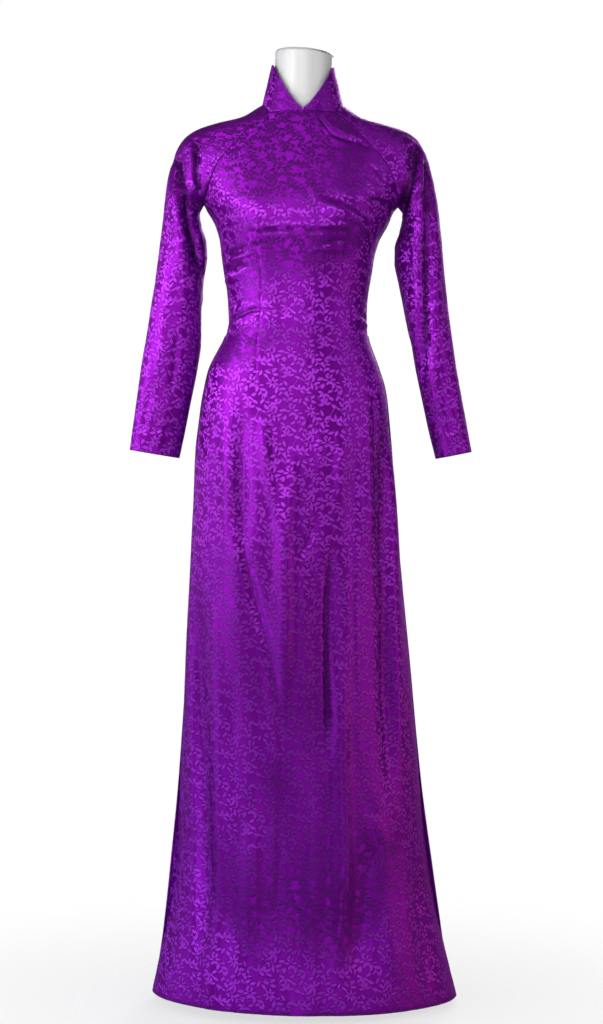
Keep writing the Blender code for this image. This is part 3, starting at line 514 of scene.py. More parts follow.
def raglan(tab, side, steps):
    at = np.linspace(0, 1, len(tab["front_x"]))
    t = np.linspace(0, 1, steps + 1)
    z = smooth(at, tab[side + "_z"])(t)
    x = smooth(at, tab[side + "_x"])(t)
    phi = seam_angle(side, x, z)
    phi[-1] = math.copysign(math.pi / 2, x[-1])
    return z, phi


def hem_height(x):
    return HEM_Z + 1.5 - 0.016 * x


def arc(foot, crest, wrap, deep, steps):
    flat = np.array([crest[0] - foot[0], 0, crest[2] - foot[2]])
    length = np.linalg.norm(flat)
    out = flat / length
    half = length / (1 - math.cos(wrap))
    centre = crest - out * half
    sign = -1 if deep < 0 else 1
    if wrap < math.pi - 1e-6:
        deep = sign * abs(foot[1] - crest[1]) / math.sin(wrap)
    angle = np.linspace(wrap, 0, steps + 1)[:, None]
    return centre + half * np.cos(angle) * out + deep * np.sin(angle) * np.array([0, 1, 0])


# --------------------------------------------------------------------- finer, with folds
def lattice(seed, u, v):
    """Smooth value noise from -1 to 1."""
    grid = np.random.RandomState(seed).uniform(-1, 1, (64, 64))
    iu, iv = np.floor(u).astype(int), np.floor(v).astype(int)
    fu, fv = ramp(u - iu), ramp(v - iv)
    a = grid[iu % 64, iv % 64] * (1 - fu) + grid[(iu + 1) % 64, iv % 64] * fu
    b = grid[iu % 64, (iv + 1) % 64] * (1 - fu) + grid[(iu + 1) % 64, (iv + 1) % 64] * fu
    return a * (1 - fv) + b * fv


def creases(down, across, x, z):
    """Height of all creases of one piece at (x, z), and how much painted shade darkens the cloth in their deep, narrow
    troughs.
    """
    total, fold_shade = np.zeros_like(x), np.zeros_like(x)

    # painted shade: how strongly one crease darkens the colour, more for a deep narrow trough
    def fold_shade_strength(c):
        return min(max(-c["out"] / min(c["left"], c["right"]) - 0.35, 0) * 0.62, 0.9)

    for c in down:
        px, pz = c["path"][::-1, 0], c["path"][::-1, 1]
        line = smooth(pz, px)(z)
        side = np.where(x < line, c["left"], c["right"])
        fade = ramp((pz[-1] - z) / c["top"]) * ramp((z - pz[0]) / c["low"])
        total += c["out"] * fade * bell((x - line) / side)
        fold_shade += fold_shade_strength(c) * fade * bell((x - line) / (0.75 * side))
    for c in across:
        px, pz = c["path"][:, 0], c["path"][:, 1]
        line = smooth(px, pz)(x)
        side = np.where(z > line, c["left"], c["right"])
        fade = ramp((x - px[0]) / c["top"] + 0.2) * ramp((px[-1] - x) / c["low"] + 0.2)
        inside = (x > px[0] - c["top"]) & (x < px[-1] + c["low"])
        total += c["out"] * fade * inside * bell((z - line) / side)
        fold_shade += fold_shade_strength(c) * fade * inside * bell((z - line) / (0.75 * side))
    return total, np.minimum(fold_shade, 0.9)


def off_line(path, x, z):
    """How far a point is from a line that runs down the cloth, minus to the left of it,
    and well away from it past the line's ends."""
    path = np.array(path, float)[::-1]
    away = (x - smooth(path[:, 1], path[:, 0])(z))
    past = np.maximum(path[0, 1] - z, 0) + np.maximum(z - path[-1, 1], 0)
    return away + np.where(away < 0, -1, 1) * past * 0.6


def normals(grid):
    """Unit normals of a grid, along (columns x rows)."""
    across = np.gradient(grid, axis=1)
    along = np.gradient(grid, axis=0)
    n = np.cross(across, along)
    return n / np.maximum(np.linalg.norm(n, axis=-1, keepdims=True), 1e-9)


def respaced(points, count):
    """The same curve with its points evenly spaced."""
    run = np.r_[0, np.cumsum(np.linalg.norm(np.diff(points, axis=0), axis=1))]
    at = np.linspace(0, run[-1], count)
    return np.stack([np.interp(at, run, points[:, k]) for k in range(3)], axis=-1), run[-1]


def pulled_in(grid, gap_start, gap_end):
    """Both side edges of a grid moved in along the surface by a gap that varies by row."""
    done = grid.copy()
    for edge, inside, gap in ((0, 1, gap_start), (-1, -2, gap_end)):
        way = grid[:, inside] - grid[:, edge]
        way /= np.maximum(np.linalg.norm(way, axis=1, keepdims=True), 1e-9)
        done[:, edge] = grid[:, edge] + way * np.minimum(gap, 60)[:, None]
    return done


class Sheet:
    """A grid of points with its grain coordinates and named values, that can be turned in
    at its edges and made into a mesh."""

    def __init__(self, grid, grain, **values):
        self.grid, self.grain, self.values = grid, grain, values
        self.normal = normals(grid)

    def raised(self, height):
        self.grid = self.grid + self.normal * height[..., None]
        self.normal = normals(self.grid)
        return self

    def turned(self, edge, profile):
        """Adds rows or columns past an edge: profile is (along, inward) in mm, nearest first."""
        axis = 1 if edge in ("start", "end") else 0
        first = edge in ("start", "bottom")
        take = lambda a, i: np.take(a, [i], axis=axis)
        e, i = (0, 1) if first else (-1, -2)
        rim, inner, n = take(self.grid, e), take(self.grid, i), take(self.normal, e)
        way = rim - inner
        length = np.maximum(np.linalg.norm(way, axis=-1, keepdims=True), 1e-9)
        way = way / length
        grain_way = (take(self.grain, e) - take(self.grain, i)) / length
        points = [rim + way * a - n * b for a, b in profile]
        grains = [take(self.grain, e) + grain_way * b for a, b in profile]
        order = (lambda items, rest: items[::-1] + [rest]) if first else (lambda items, rest: [rest] + items)
        self.grid = np.concatenate(order(points, self.grid), axis=axis)
        self.grain = np.concatenate(order(grains, self.grain), axis=axis)
        self.normal = np.concatenate(order([n] * len(profile), self.normal), axis=axis)
        for k, v in self.values.items():
            self.values[k] = np.concatenate(order([take(v, e)] * len(profile), v), axis=axis)
        return self

    def made(self, name, finish):
        rows, columns = self.grid.shape[:2]
        mesh = bpy.data.meshes.new(name)
        points = (self.grid.reshape(-1, 3) + np.array([0, AXIS_Y, 0])) * MM
        index = np.arange(rows * columns).reshape(rows, columns)
        quads = np.stack(
            [index[:-1, :-1], index[:-1, 1:], index[1:, 1:], index[1:, :-1]], axis=-1
        ).reshape(-1, 4)
        mesh.vertices.add(len(points))
        mesh.vertices.foreach_set("co", points.astype(np.float32).ravel())
        mesh.loops.add(quads.size)
        mesh.loops.foreach_set("vertex_index", quads.ravel().astype(np.int32))
        mesh.polygons.add(len(quads))
        mesh.polygons.foreach_set("loop_start", np.arange(0, quads.size, 4, dtype=np.int32))
        mesh.polygons.foreach_set("loop_total", np.full(len(quads), 4, np.int32))
        mesh.update(calc_edges=True)
        mesh.validate()
        mesh.shade_smooth()
        layer = mesh.uv_layers.new(name="grain")
        loops = np.empty(len(mesh.loops), np.int32)
        mesh.loops.foreach_get("vertex_index", loops)
        uv = (self.grain.reshape(-1, 2) * MM)[loops]
        layer.data.foreach_set("uv", uv.astype(np.float32).ravel())
        for key, value in self.values.items():
            attribute = mesh.attributes.new(key, "FLOAT", "POINT")
            attribute.data.foreach_set("value", value.reshape(-1).astype(np.float32))
        mesh.materials.append(finish)
        made = bpy.data.objects.new(name, mesh)
        bpy.context.scene.collection.objects.link(made)
        return made


SEAM_TURN = [(0.10, 0.25), (0.12, 0.8), (-4.0, 1.3)]
FREE_TURN = [(0.25, 0.25), (0.25, 0.75), (-1.0, 1.15), (-11.0, 1.3)]
HEM_TURN = [(0.35, 0.3), (0.35, 0.9), (-1.0, 1.3), (-12.0, 1.5), (-23.0, 1.4)]


def panel_sheet(side, columns, down, across, seed, darts):
    """One whole panel, hem to neck seam."""
    cap = 78
    z_left, phi_left = raglan(RAGLAN_LEFT, side, cap)
    z_right, phi_right = raglan(RAGLAN_RIGHT, side, cap)
    low = np.r_[np.linspace(HEM_Z, 1040, 142), np.linspace(1040, 1262, 88)[1:]]
    dense = np.linspace(-1, 1, 601)
    rows = []
    for level in low:
        phi = dense * math.pi / 2
        z = np.full_like(phi, level)
        if level < 120:
            lift = hem_height(skin(side, z, phi)[:, 0]) - HEM_Z
            z = z + lift * (1 - (level - HEM_Z) / 120)
        rows.append(skin(side, z, phi))
    for i in range(cap, -1, -1):
        share = (dense + 1) / 2
        phi = phi_left[i] + (phi_right[i] - phi_left[i]) * share
        z = z_left[i] + (z_right[i] - z_left[i]) * share
        rows.append(skin(side, z, phi))
    grid, spans = [], []
    for row in rows:
        even, length = respaced(row, columns + 1)
        grid.append(even)
        spans.append(length)
    grid = np.array(grid)
    if side == "back":
        grid = grid[:, ::-1].copy()
    edge_z = grid[:, 0, 2]
    gap = np.where(edge_z < SLIT_HALF_Z[0], smooth(SLIT_HALF_Z, SLIT_HALF)(edge_z), 0.2)
    grid = pulled_in(grid, gap, gap)
    x, z = grid[..., 0], grid[..., 2]
    # grain: across from the middle line, and up the middle
    steps = np.linalg.norm(np.diff(grid, axis=1), axis=-1)
    run = np.concatenate([np.zeros((len(grid), 1)), np.cumsum(steps, axis=1)], axis=1)
    zero = np.array([np.interp(0, r if side == "front" else r[::-1], q if side == "front" else q[::-1])
                     for r, q in zip(x, run)])
    across_grain = run - zero[:, None]
    middle = grid[:, columns // 2]
    up = np.r_[0, np.cumsum(np.linalg.norm(np.diff(middle, axis=0), axis=1))]
    grain = np.stack([across_grain, np.broadcast_to(up[:, None], x.shape)], axis=-1)
    # how far from the two edges, and from the neck seam
    to_edge = np.minimum(run, run[:, -1:] - run)
    sewn = ramp((z - (SLIT_TOP_Z - 60)) / 60)
    hold = ramp(to_edge / 13) * sewn + ramp(to_edge / 30 + 0.25) * (1 - sewn)
    to_neck = up[-1] - np.broadcast_to(up[:, None], x.shape)
    hold = hold * ramp(to_neck / 7)
    height, fold_shade = creases(down, across, x, z)
    loose = ramp((1010 - z) / 160)
    height = height + loose * (
        1.3 * lattice(seed, x / 34 + 20, z / 330 + 9)
        + 0.75 * lattice(seed + 1, x / 15 + 30, z / 150 + 5)
        + 0.28 * lattice(seed + 2, x / 7 + 30, z / 46 + 5)
    )
    height = height + (1 - loose) * (
        0.5 * lattice(seed + 3, x / 30 + 20, z / 24 + 9)
        + 0.20 * lattice(seed + 4, x / 11 + 30, z / 9 + 5)
    )
    height = height + 0.10 * lattice(seed + 5, x / 4.5 + 40, z / 9 + 5)
    # the hem kicks out a little, more at the two corners, and puckers along its stitches
    reach = 60 + 26 * lattice(seed + 7, x / 70 + 11, 0 * x + 3.5) + 40 * ramp((np.abs(x - 5) - 90) / 80)
    kick = np.maximum(z - HEM_Z, 0)
    out = 1 - 0.5 * ramp((np.abs(x - 2) - 120) / 60)
    height = height + out * (3.5 * np.exp(-kick / (0.62 * reach)) + 8.0 * bell(kick / (0.95 * reach)))
    height = height - 4.5 * bell((kick - 2.1 * reach) / (1.1 * reach))
    height = height + bell((kick - 21) / 9) * (
        0.45 * lattice(seed + 8, x / 11 + 7, z / 40 + 5) + 0.25 * lattice(seed + 9, x / 4 + 7, z / 30 + 5)
    )
    # seam pucker
    pucker = np.sin(up[:, None] / 2.1 + 1.3 * lattice(seed + 6, up[:, None] / 19, x / 60 + 5))
    height = height + 0.22 * pucker * sewn * np.exp(-to_edge / 9)
    values = {}
    for key, path in darts.items():
        away = off_line(path, x, z)
        values[key] = away
        height = height + 0.18 * np.sin(z / 1.9) * np.exp(-np.abs(away) / 6)
        height = height - 0.55 * bell(away / 2.2)
    values["hem"] = np.broadcast_to(up[:, None], x.shape).copy()
    # painted shade in the deep crease troughs, which darkens the base colour
    values["fold_shade"] = fold_shade * hold
    values["edge"] = to_edge
    sheet = Sheet(grid, grain, **values)
    sheet.raised(height * hold)
    free = len(low)
    sheet.turned("start", SEAM_TURN).turned("end", SEAM_TURN)
    sheet.turned("bottom", HEM_TURN).turned("top", SEAM_TURN)
    return sheet


def sleeve_sheet(cap, tube, mirrored, down, across, seed):
    """Over the shoulder from the neck seam, then down the arm to the cuff."""
    half, cap_rows, arm_rows, coarse = 92, 100, 190, 11
    at = np.linspace(0, 1, len(cap["front_x"]))
    t = np.linspace(0, 1, coarse + 1)
    edges, fine = {}, {}
    for side in ("front", "back"):
        z, phi = raglan(cap, side, coarse)
        edges[side] = skin(side, z, phi)
        z, phi = raglan(cap, side, cap_rows)
        fine[side] = skin(side, z, phi)
    crest = np.stack(
        [smooth(at, cap["crest_x"])(t), np.zeros_like(t), smooth(at, cap["crest_z"])(t)], axis=-1
    )
    wraps = {s: np.radians(smooth(at, cap["wrap_" + s])(t)) for s in ("front", "back")}
    levels = []
    for i in range(coarse + 1):
        front = arc(edges["front"][i], crest[i], wraps["front"][i], -tube["deep"][0], half)
        back = arc(edges["back"][i], crest[i], wraps["back"][i], tube["deep"][0], half)
        levels.append(np.concatenate([front, back[-2::-1]]))
    levels = np.array(levels)
    t_fine = np.linspace(0, 1, cap_rows + 1)
    dense = np.stack(
        [[smooth(t, levels[:, c, k])(t_fine) for k in range(3)] for c in range(2 * half + 1)], axis=0
    ).transpose(2, 0, 1)
    # its two edges follow the panels' raglan seams exactly
    for column, side in ((0, "front"), (2 * half, "back")):
        share = np.exp(-np.abs(np.arange(2 * half + 1) - column) / 7.0)
        dense += share[None, :, None] * (fine[side] - dense[:, column])[:, None, :]
    rows = list(dense)
    at = np.linspace(0, 1, len(tube["deep"]))
    for level in np.linspace(0, 1, arm_rows + 1)[1:]:
        v = {name: float(smooth(at, tube[name])(level)) for name in tube}
        inner = np.array([v["inner_x"], -v["swing"], v["inner_z"]])
        outer = np.array([v["outer_x"], -v["swing"], v["outer_z"]])
        front = arc(inner, outer, math.pi, -v["deep"], half)
        back = arc(inner, outer, math.pi, v["deep"], half)
        rows.append(np.concatenate([front, back[-2::-1]]))
    grid = np.array(rows)
    # the step where the cap passes into the arm is eased, away from the seam edges
    eased = grid.copy()
    for _ in range(150):
        eased[1:-1] += 0.25 * (eased[2:] - 2 * eased[1:-1] + eased[:-2])
    column = np.arange(2 * half + 1)
    free = ramp((np.minimum(column, 2 * half - column) - 5) / 16)
    near = np.exp(-(((np.arange(len(grid)) - cap_rows) / 22.0) ** 2))
    grid = grid + (eased - grid) * near[:, None, None] * free[None, :, None]
    if mirrored:
        grid = grid[:, ::-1].copy()
    gap = np.where(np.arange(len(grid)) <= cap_rows, 0.2, 0.0)
    grid = pulled_in(grid, gap, gap)
    grid[0] += (grid[1] - grid[0]) * (0.2 / np.linalg.norm(grid[1] - grid[0], axis=1))[:, None]
    x, z = grid[..., 0], grid[..., 2]
    steps = np.linalg.norm(np.diff(grid, axis=1), axis=-1)
    run = np.concatenate([np.zeros((len(grid), 1)), np.cumsum(steps, axis=1)], axis=1)
    across_grain = run - run[:, half : half + 1]
    middle = grid[:, half]
    down_run = np.r_[0, np.cumsum(np.linalg.norm(np.diff(middle, axis=0), axis=1))]
    grain = np.stack([across_grain, -np.broadcast_to(down_run[:, None], x.shape)], axis=-1)
    sheet = Sheet(grid, grain)
    facing = -sheet.normal[..., 1]
    to_edge = np.minimum(run, run[:, -1:] - run)
    hold = ramp(to_edge / 12) * ramp(np.broadcast_to(down_run[:, None], x.shape) / 8)
    front = ramp(facing / 0.35 + 0.2)
    back = ramp(-facing / 0.35 + 0.2)
    shift = 9 if mirrored else -7
    seen, seen_fold_shade = creases(down, across, x, z)
    far, far_fold_shade = creases(down, across, x + shift, z + 14)
    height = seen * front + 0.8 * far * back
    height = height + (
        0.8 * lattice(seed, across_grain / 30 + 20, z / 90 + 9)
        + 0.45 * lattice(seed + 1, across_grain / 13 + 30, z / 42 + 5)
        + 0.16 * lattice(seed + 2, across_grain / 6 + 30, z / 14 + 5)
        + 0.08 * lattice(seed + 3, across_grain / 4 + 30, z / 7 + 5)
    )
    run_down = np.broadcast_to(down_run[:, None], x.shape)
    height = height + 0.22 * np.sin(run_down / 2.1) * np.exp(-to_edge / 9)
    sheet.values["hem"] = down_run[-1] - run_down
    # painted shade in the deep crease troughs, which darkens the base colour
    sheet.values["fold_shade"] = (seen_fold_shade * front + 0.8 * far_fold_shade * back) * hold
    sheet.values["edge"] = to_edge
    sheet.values["dart_l"] = np.full_like(x, 90.0)
    sheet.values["dart_r"] = np.full_like(x, 90.0)
    sheet.raised(height * hold)
    sheet.turned("start", SEAM_TURN).turned("end", SEAM_TURN)
    sheet.turned("bottom", SEAM_TURN).turned("top", HEM_TURN)
    return sheet


def neckline(steps):
    """The closed neck seam, centre front round by -X, evenly spaced."""
    tops = {}
    for side in ("front", "back"):
        (zl,), (pl,) = [a[:1] for a in raglan(RAGLAN_LEFT, side, 11)]
        (zr,), (pr,) = [a[:1] for a in raglan(RAGLAN_RIGHT, side, 11)]
        share = (np.linspace(-1, 1, 41) + 1) / 2
        tops[side] = skin(side, zl + (zr - zl) * share, pl + (pr - pl) * share)
    caps = []
    for cap, tube in ((RAGLAN_LEFT, SLEEVE_LEFT), (RAGLAN_RIGHT, SLEEVE_RIGHT)):
        feet = {}
        for side in ("front", "back"):
            z, phi = raglan(cap, side, 11)
            feet[side] = skin(side, z, phi)[0]
        crest = np.array([cap["crest_x"][0], 0, cap["crest_z"][0]])
        front = arc(feet["front"], crest, math.radians(cap["wrap_front"][0]), -tube["deep"][0], 7)
        back = arc(feet["back"], crest, math.radians(cap["wrap_back"][0]), tube["deep"][0], 7)
        caps.append(np.concatenate([front, back[-2::-1]]))
    front, back = tops["front"], tops["back"]
    left, right = caps
    loop = np.concatenate([front[20::-1], left[1:], back[1:], right[-2::-1], front[-2:19:-1]])
    return respaced(loop, steps + 1)[0]


def collar_sheet():
    """The stand collar as one folded band: up the outside, over the edge, down the inside."""
    steps = 300
    foot = neckline(steps)
    for _ in range(14):
        foot[1:-1] = (foot[:-2] + 2 * foot[1:-1] + foot[2:]) / 4
    turn = np.linspace(0, 2 * math.pi, steps + 1)
    top = COLLAR_TOP
    tx = top["x"] - top["half_x"] * np.sin(turn)
    ty = top["y"] - top["half_y"] * np.cos(turn)
    crown = np.stack([tx, ty, top["z"] + top["tilt"] * tx + 0.06 * ty], axis=-1)
    degrees = 180 - np.abs(180 - np.degrees(turn))
    share = smooth(COLLAR_EDGE["angle"], COLLAR_EDGE["share"])(degrees)
    foot[0, 0] -= 0.5
    foot[-1, 0] += 0.5
    rows = []
    for r in np.linspace(0, 1, 26):
        row = foot + (crown - foot) * (r * share)[:, None]
        row[:, 2] += 0.45
        rows.append(row)
    grid = np.array(rows)
    grid[:, 0, 0], grid[:, -1, 0] = foot[0, 0], foot[-1, 0]
    grid = grid[:, ::-1].copy()
    steps_ = np.linalg.norm(np.diff(grid, axis=1), axis=-1)
    run = np.concatenate([np.zeros((len(grid), 1)), np.cumsum(steps_, axis=1)], axis=1)
    across_grain = np.broadcast_to(run[:1] - run[0, -1] / 2, run.shape)
    rise = np.linalg.norm(np.diff(grid, axis=0), axis=-1)
    up = np.concatenate([np.zeros((1, grid.shape[1])), np.cumsum(rise, axis=0)], axis=0)
    grain = np.stack([across_grain, up + 31.0], axis=-1)
    x, z = grid[..., 0], grid[..., 2]
    edge = up[-1:] - up
    sheet = Sheet(grid, grain, hem=edge + 17.0, edge=np.full_like(x, 60.0), fold_shade=np.zeros_like(x),
                  dart_l=np.full_like(x, 90.0), dart_r=np.full_like(x, 90.0))
    hold = ramp(up / 5) * ramp(edge / 6 + 0.3)
    height = 0.35 * lattice(71, across_grain / 26 + 9, up / 17 + 4) + 0.10 * lattice(72, across_grain / 7 + 9, up / 6 + 4)
    height = height + 0.35 * bell((edge - 1.5) / 1.6)
    sheet.raised(height * hold)
    sheet.turned("top", [(0.35, 0.25), (0.5, 0.8), (0.35, 1.35), (-0.6, 1.7), (-6.0, 1.75), (-14.0, 1.75)])
    sheet.turned("bottom", [(0.15, 0.3), (0.2, 0.9), (-2.5, 1.3)])
    return sheet


# ------------------------------------------------------------------------------ materials
class Nodes:
    """Builds a shader tree from plain calls. A value is a number or another node's output."""

    def __init__(self, tree):
        self.tree = tree

    def put(self, kind, inputs=None, output=0, **settings):
        node = self.tree.nodes.new(kind)
        for key, value in settings.items():
            setattr(node, key, value)
        for key, value in (inputs or {}).items():
            self.set(node.inputs[key], value)
        return node.outputs[output]

    def set(self, socket, value):
        if isinstance(value, bpy.types.NodeSocket):
            self.tree.links.new(value, socket)
        else:
            socket.default_value = value

    def m(self, operation, a, b=0.0, c=0.0, clamp=False):
        return self.put("ShaderNodeMath", {0: a, 1: b, 2: c}, operation=operation, use_clamp=clamp)

    def v(self, operation, a, b=(0, 0, 0), c=(0, 0, 0), output=0):
        return self.put("ShaderNodeVectorMath", {0: a, 1: b, 2: c}, output=output, operation=operation)

    def dot(self, a, b):
        return self.v("DOT_PRODUCT", a, b, output=1)

    def pair(self, x, y):
        return self.put("ShaderNodeCombineXYZ", {0: x, 1: y})

    def span(self, value, low, high, to_low=0.0, to_high=1.0, kind="SMOOTHSTEP"):
        return self.put(
            "ShaderNodeMapRange",
            {"Value": value, "From Min": low, "From Max": high, "To Min": to_low, "To Max": to_high},
            interpolation_type=kind, clamp=True,
        ) if kind == "LINEAR" else self.put(
            "ShaderNodeMapRange",
            {"Value": value, "From Min": low, "From Max": high, "To Min": to_low, "To Max": to_high},
            interpolation_type=kind,
        )

    def mix(self, share, a, b):
        node = self.tree.nodes.new("ShaderNodeMix")
        node.data_type = "RGBA"
        self.set(node.inputs["Factor"], share)
        self.set(node.inputs["A"], a)
        self.set(node.inputs["B"], b)
        for socket, value in zip((node.inputs[6], node.inputs[7]), (a, b)):
            self.set(socket, value)
        return node.outputs[2]

    def noise(self, vector, scale=1.0, detail=2.0, rough=0.5):
        return self.put(
            "ShaderNodeTexNoise", {"Vector": vector, "Scale": scale, "Detail": detail, "Roughness": rough}
        )


# The woven repeat: what grows where in a tile 60 mm across and 94 mm high, each column of
# tiles half a tile higher than the one to its left. Angles are
# degrees clockwise from straight up; every size is in millimetres.
TILE = (60.0, 94.0)
FLOWERS_AT = table(
    "x y turn petals hollow long wide",
    (13, 77, 8, 7, 1.2, 9.2, 3.7),
    (43, 31, 26, 6, 1.4, 9.6, 4.0),
)
# leaves fanned out from one point
FANS_AT = table(
    "x y turn spread leaves hollow long wide",
    (37, 86, -8, 56, 4, 0.8, 10.4, 4.6),
    (55, 62, 30, 58, 4, 0.8, 10.6, 4.7),
    (20, 42, -64, 54, 5, 0.9, 10.4, 4.6),
    (5, 13, 48, 60, 3, 0.8, 10.8, 4.8),
    (35, 9, 205, 56, 4, 0.8, 10.2, 4.5),
)
# a bent stem with leaves on alternate sides
SPRIGS_AT = table(
    "x y turn cells pitch long wide slant bend",
    (25, 63, 142, 2, 9.4, 11.2, 5.0, 46, 0.020),
    (56, 18, 156, 2, 9.4, 11.2, 5.0, 44, -0.020),
    (38, 55, 24, 2, 9.2, 10.8, 4.8, 46, -0.022),
    (8, 40, 8, 2, 9.2, 10.8, 4.8, 44, 0.020),
    (22, 22, 118, 2, 9.4, 11.0, 4.9, 46, 0.018),
)
STEMS_AT = table(
    "x y turn long bend",
    (19, 69, 148, 12, 0.02),
    (49, 24, 150, 13, -0.02),
    (47, 72, 40, 22, 0.014),
    (28, 49, 112, 18, -0.018),
    (13, 31, 160, 17, 0.016),
    (30, 92, 128, 20, 0.014),
    (11, 4, 84, 15, 0.02),
)
LEAVES_AT = table(
    "x y turn long wide",
    (43, 68, 70, 12.5, 5.6),
    (33, 74, 150, 11.0, 5.0),
    (29, 33, 82, 12.0, 5.4),
    (3, 59, 20, 11.5, 5.2),
    (53, 84, 112, 12.0, 5.4),
    (18, 90, 100, 11.0, 5.0),
    (48, 46, 76, 11.5, 5.2),
    (33, 20, 24, 10.5, 4.8),
    (14, 55, 66, 11.0, 5.0),
    (47, 1, 118, 11.5, 5.2),
    (58, 2, 34, 10.5, 4.8),
    (45, 12, 62, 10.5, 4.8),
    (4, 88, 136, 10.5, 4.8),
    (56, 45, 24, 10.5, 4.8),
    (7, 94, 118, 11.0, 5.0),
    (17, 3, 48, 11.0, 5.0),
)


def motif_field(n, grain):
    """How far inside a motif a grain position in millimetres is, in millimetres."""
    half = (TILE[0] / 2, TILE[1] / 2, 1.0)
    lean = TILE[1] / 2 / TILE[0]
    grain = n.pair(n.dot(grain, (1, 0, 0)), n.dot(grain, (-lean, 1, 0)))

    def placed(x, y, turn):
        near = n.v("WRAP", n.v("SUBTRACT", grain, (x, y - lean * x, 0.0)), half, tuple(-h for h in half))
        a = math.radians(turn)
        u = n.dot(near, (math.cos(a) - lean * math.sin(a), -math.sin(a), 0))
        v = n.dot(near, (math.sin(a) + lean * math.cos(a), math.cos(a), 0))
        return n.m("SQRT", n.m("MULTIPLY_ADD", u, u, n.m("MULTIPLY", v, v))), u, v

    def almond(across, along, long, wide):
        half_wide = n.m("MULTIPLY_ADD", n.m("MULTIPLY", along, along), -2 * wide / long**2, wide / 2)
        return n.m("SUBTRACT", half_wide, n.m("ABSOLUTE", across))

    def petal(reach, angle, hollow, long, wide):
        across = n.m("MULTIPLY", reach, n.m("SINE", angle))
        along = n.m("MULTIPLY_ADD", reach, n.m("COSINE", angle), -(hollow + long / 2))
        return almond(across, along, long, wide)

    shapes = []
    for x, y, turn, petals, hollow, long, wide in zip(*FLOWERS_AT.values()):
        reach, u, v = placed(x, y, turn)
        cell = n.m("WRAP", n.m("MULTIPLY", n.m("ARCTAN2", u, v), petals / (2 * math.pi)), 0.5, -0.5)
        angle = n.m("MULTIPLY", cell, 2 * math.pi / petals)
        shapes.append(petal(reach, angle, hollow, long, wide))
    for x, y, turn, spread, leaves, hollow, long, wide in zip(*FANS_AT.values()):
        reach, u, v = placed(x, y, turn)
        step = math.radians(spread)
        around = n.m("ARCTAN2", u, v)
        odd = 0.0 if leaves % 2 else 0.5
        cell = n.m("SUBTRACT", n.m("WRAP", n.m("MULTIPLY_ADD", around, 1 / step, odd), 0.5, -0.5), 0.0)
        angle = n.m("MULTIPLY", cell, step)
        leaf = petal(reach, angle, hollow, long, wide)
        inside = n.m("SUBTRACT", leaves * step / 2, n.m("ABSOLUTE", around))
        shapes.append(n.m("MINIMUM", leaf, n.m("MULTIPLY", inside, 6.0)))
    for x, y, turn, cells, pitch, long, wide, slant, bend in zip(*SPRIGS_AT.values()):
        _, u, v = placed(x, y, turn)
        u = n.m("MULTIPLY_ADD", n.m("MULTIPLY", v, v), bend, u)
        right = n.m("GREATER_THAN", u, 0.0)
        shifted = n.m("MULTIPLY_ADD", right, pitch / 2, v)
        cell = n.m("WRAP", shifted, pitch / 2, -pitch / 2)
        side = n.m("ABSOLUTE", u)
        s, c = math.sin(math.radians(slant)), math.cos(math.radians(slant))
        out = n.m("SUBTRACT", side, 0.48 * long * s + 0.5)
        along = n.m("MULTIPLY_ADD", out, s, n.m("MULTIPLY", cell, c))
        across = n.m("MULTIPLY_ADD", out, c, n.m("MULTIPLY", cell, -s))
        leaf = almond(across, along, long, wide)
        leaf = n.m("MINIMUM", leaf, n.m("SUBTRACT", cells * pitch / 2, n.m("ABSOLUTE", shifted)))
        stem = n.m("MINIMUM", n.m("SUBTRACT", 0.62, side),
                   n.m("SUBTRACT", cells * pitch / 2 + 3.0, n.m("ABSOLUTE", v)))
        shapes.append(n.m("MAXIMUM", leaf, stem))
    for x, y, turn, long, bend in zip(*STEMS_AT.values()):
        _, u, v = placed(x, y, turn)
        side = n.m("ABSOLUTE", n.m("MULTIPLY_ADD", n.m("MULTIPLY", v, v), bend, u))
        shapes.append(n.m("MINIMUM", n.m("SUBTRACT", 0.62, side), n.m("SUBTRACT", long / 2, n.m("ABSOLUTE", v))))
    for x, y, turn, long, wide in zip(*LEAVES_AT.values()):
        _, u, v = placed(x, y, turn)
        shapes.append(almond(u, v, long, wide))
    while len(shapes) > 1:
        shapes = [
            n.m("MAXIMUM", *shapes[i : i + 2]) if i + 1 < len(shapes) else shapes[i]
            for i in range(0, len(shapes), 2)
        ]
    return shapes[0]


def jacquard_group():
    """Input: grain position in millimetres. Output: how far inside a motif, in millimetres."""
    tree = bpy.data.node_groups.new("leaf_jacquard", "ShaderNodeTree")
    tree.interface.new_socket("Grain", in_out="INPUT", socket_type="NodeSocketVector")
    tree.interface.new_socket("Inside", in_out="OUTPUT", socket_type="NodeSocketFloat")
    start = tree.nodes.new("NodeGroupInput")
    end = tree.nodes.new("NodeGroupOutput")
    tree.links.new(motif_field(Nodes(tree), start.outputs[0]), end.inputs[0])
    return tree


GROUND = (0.214, 0.0030, 0.348, 1)
MOTIF = (0.202, 0.0120, 0.336, 1)


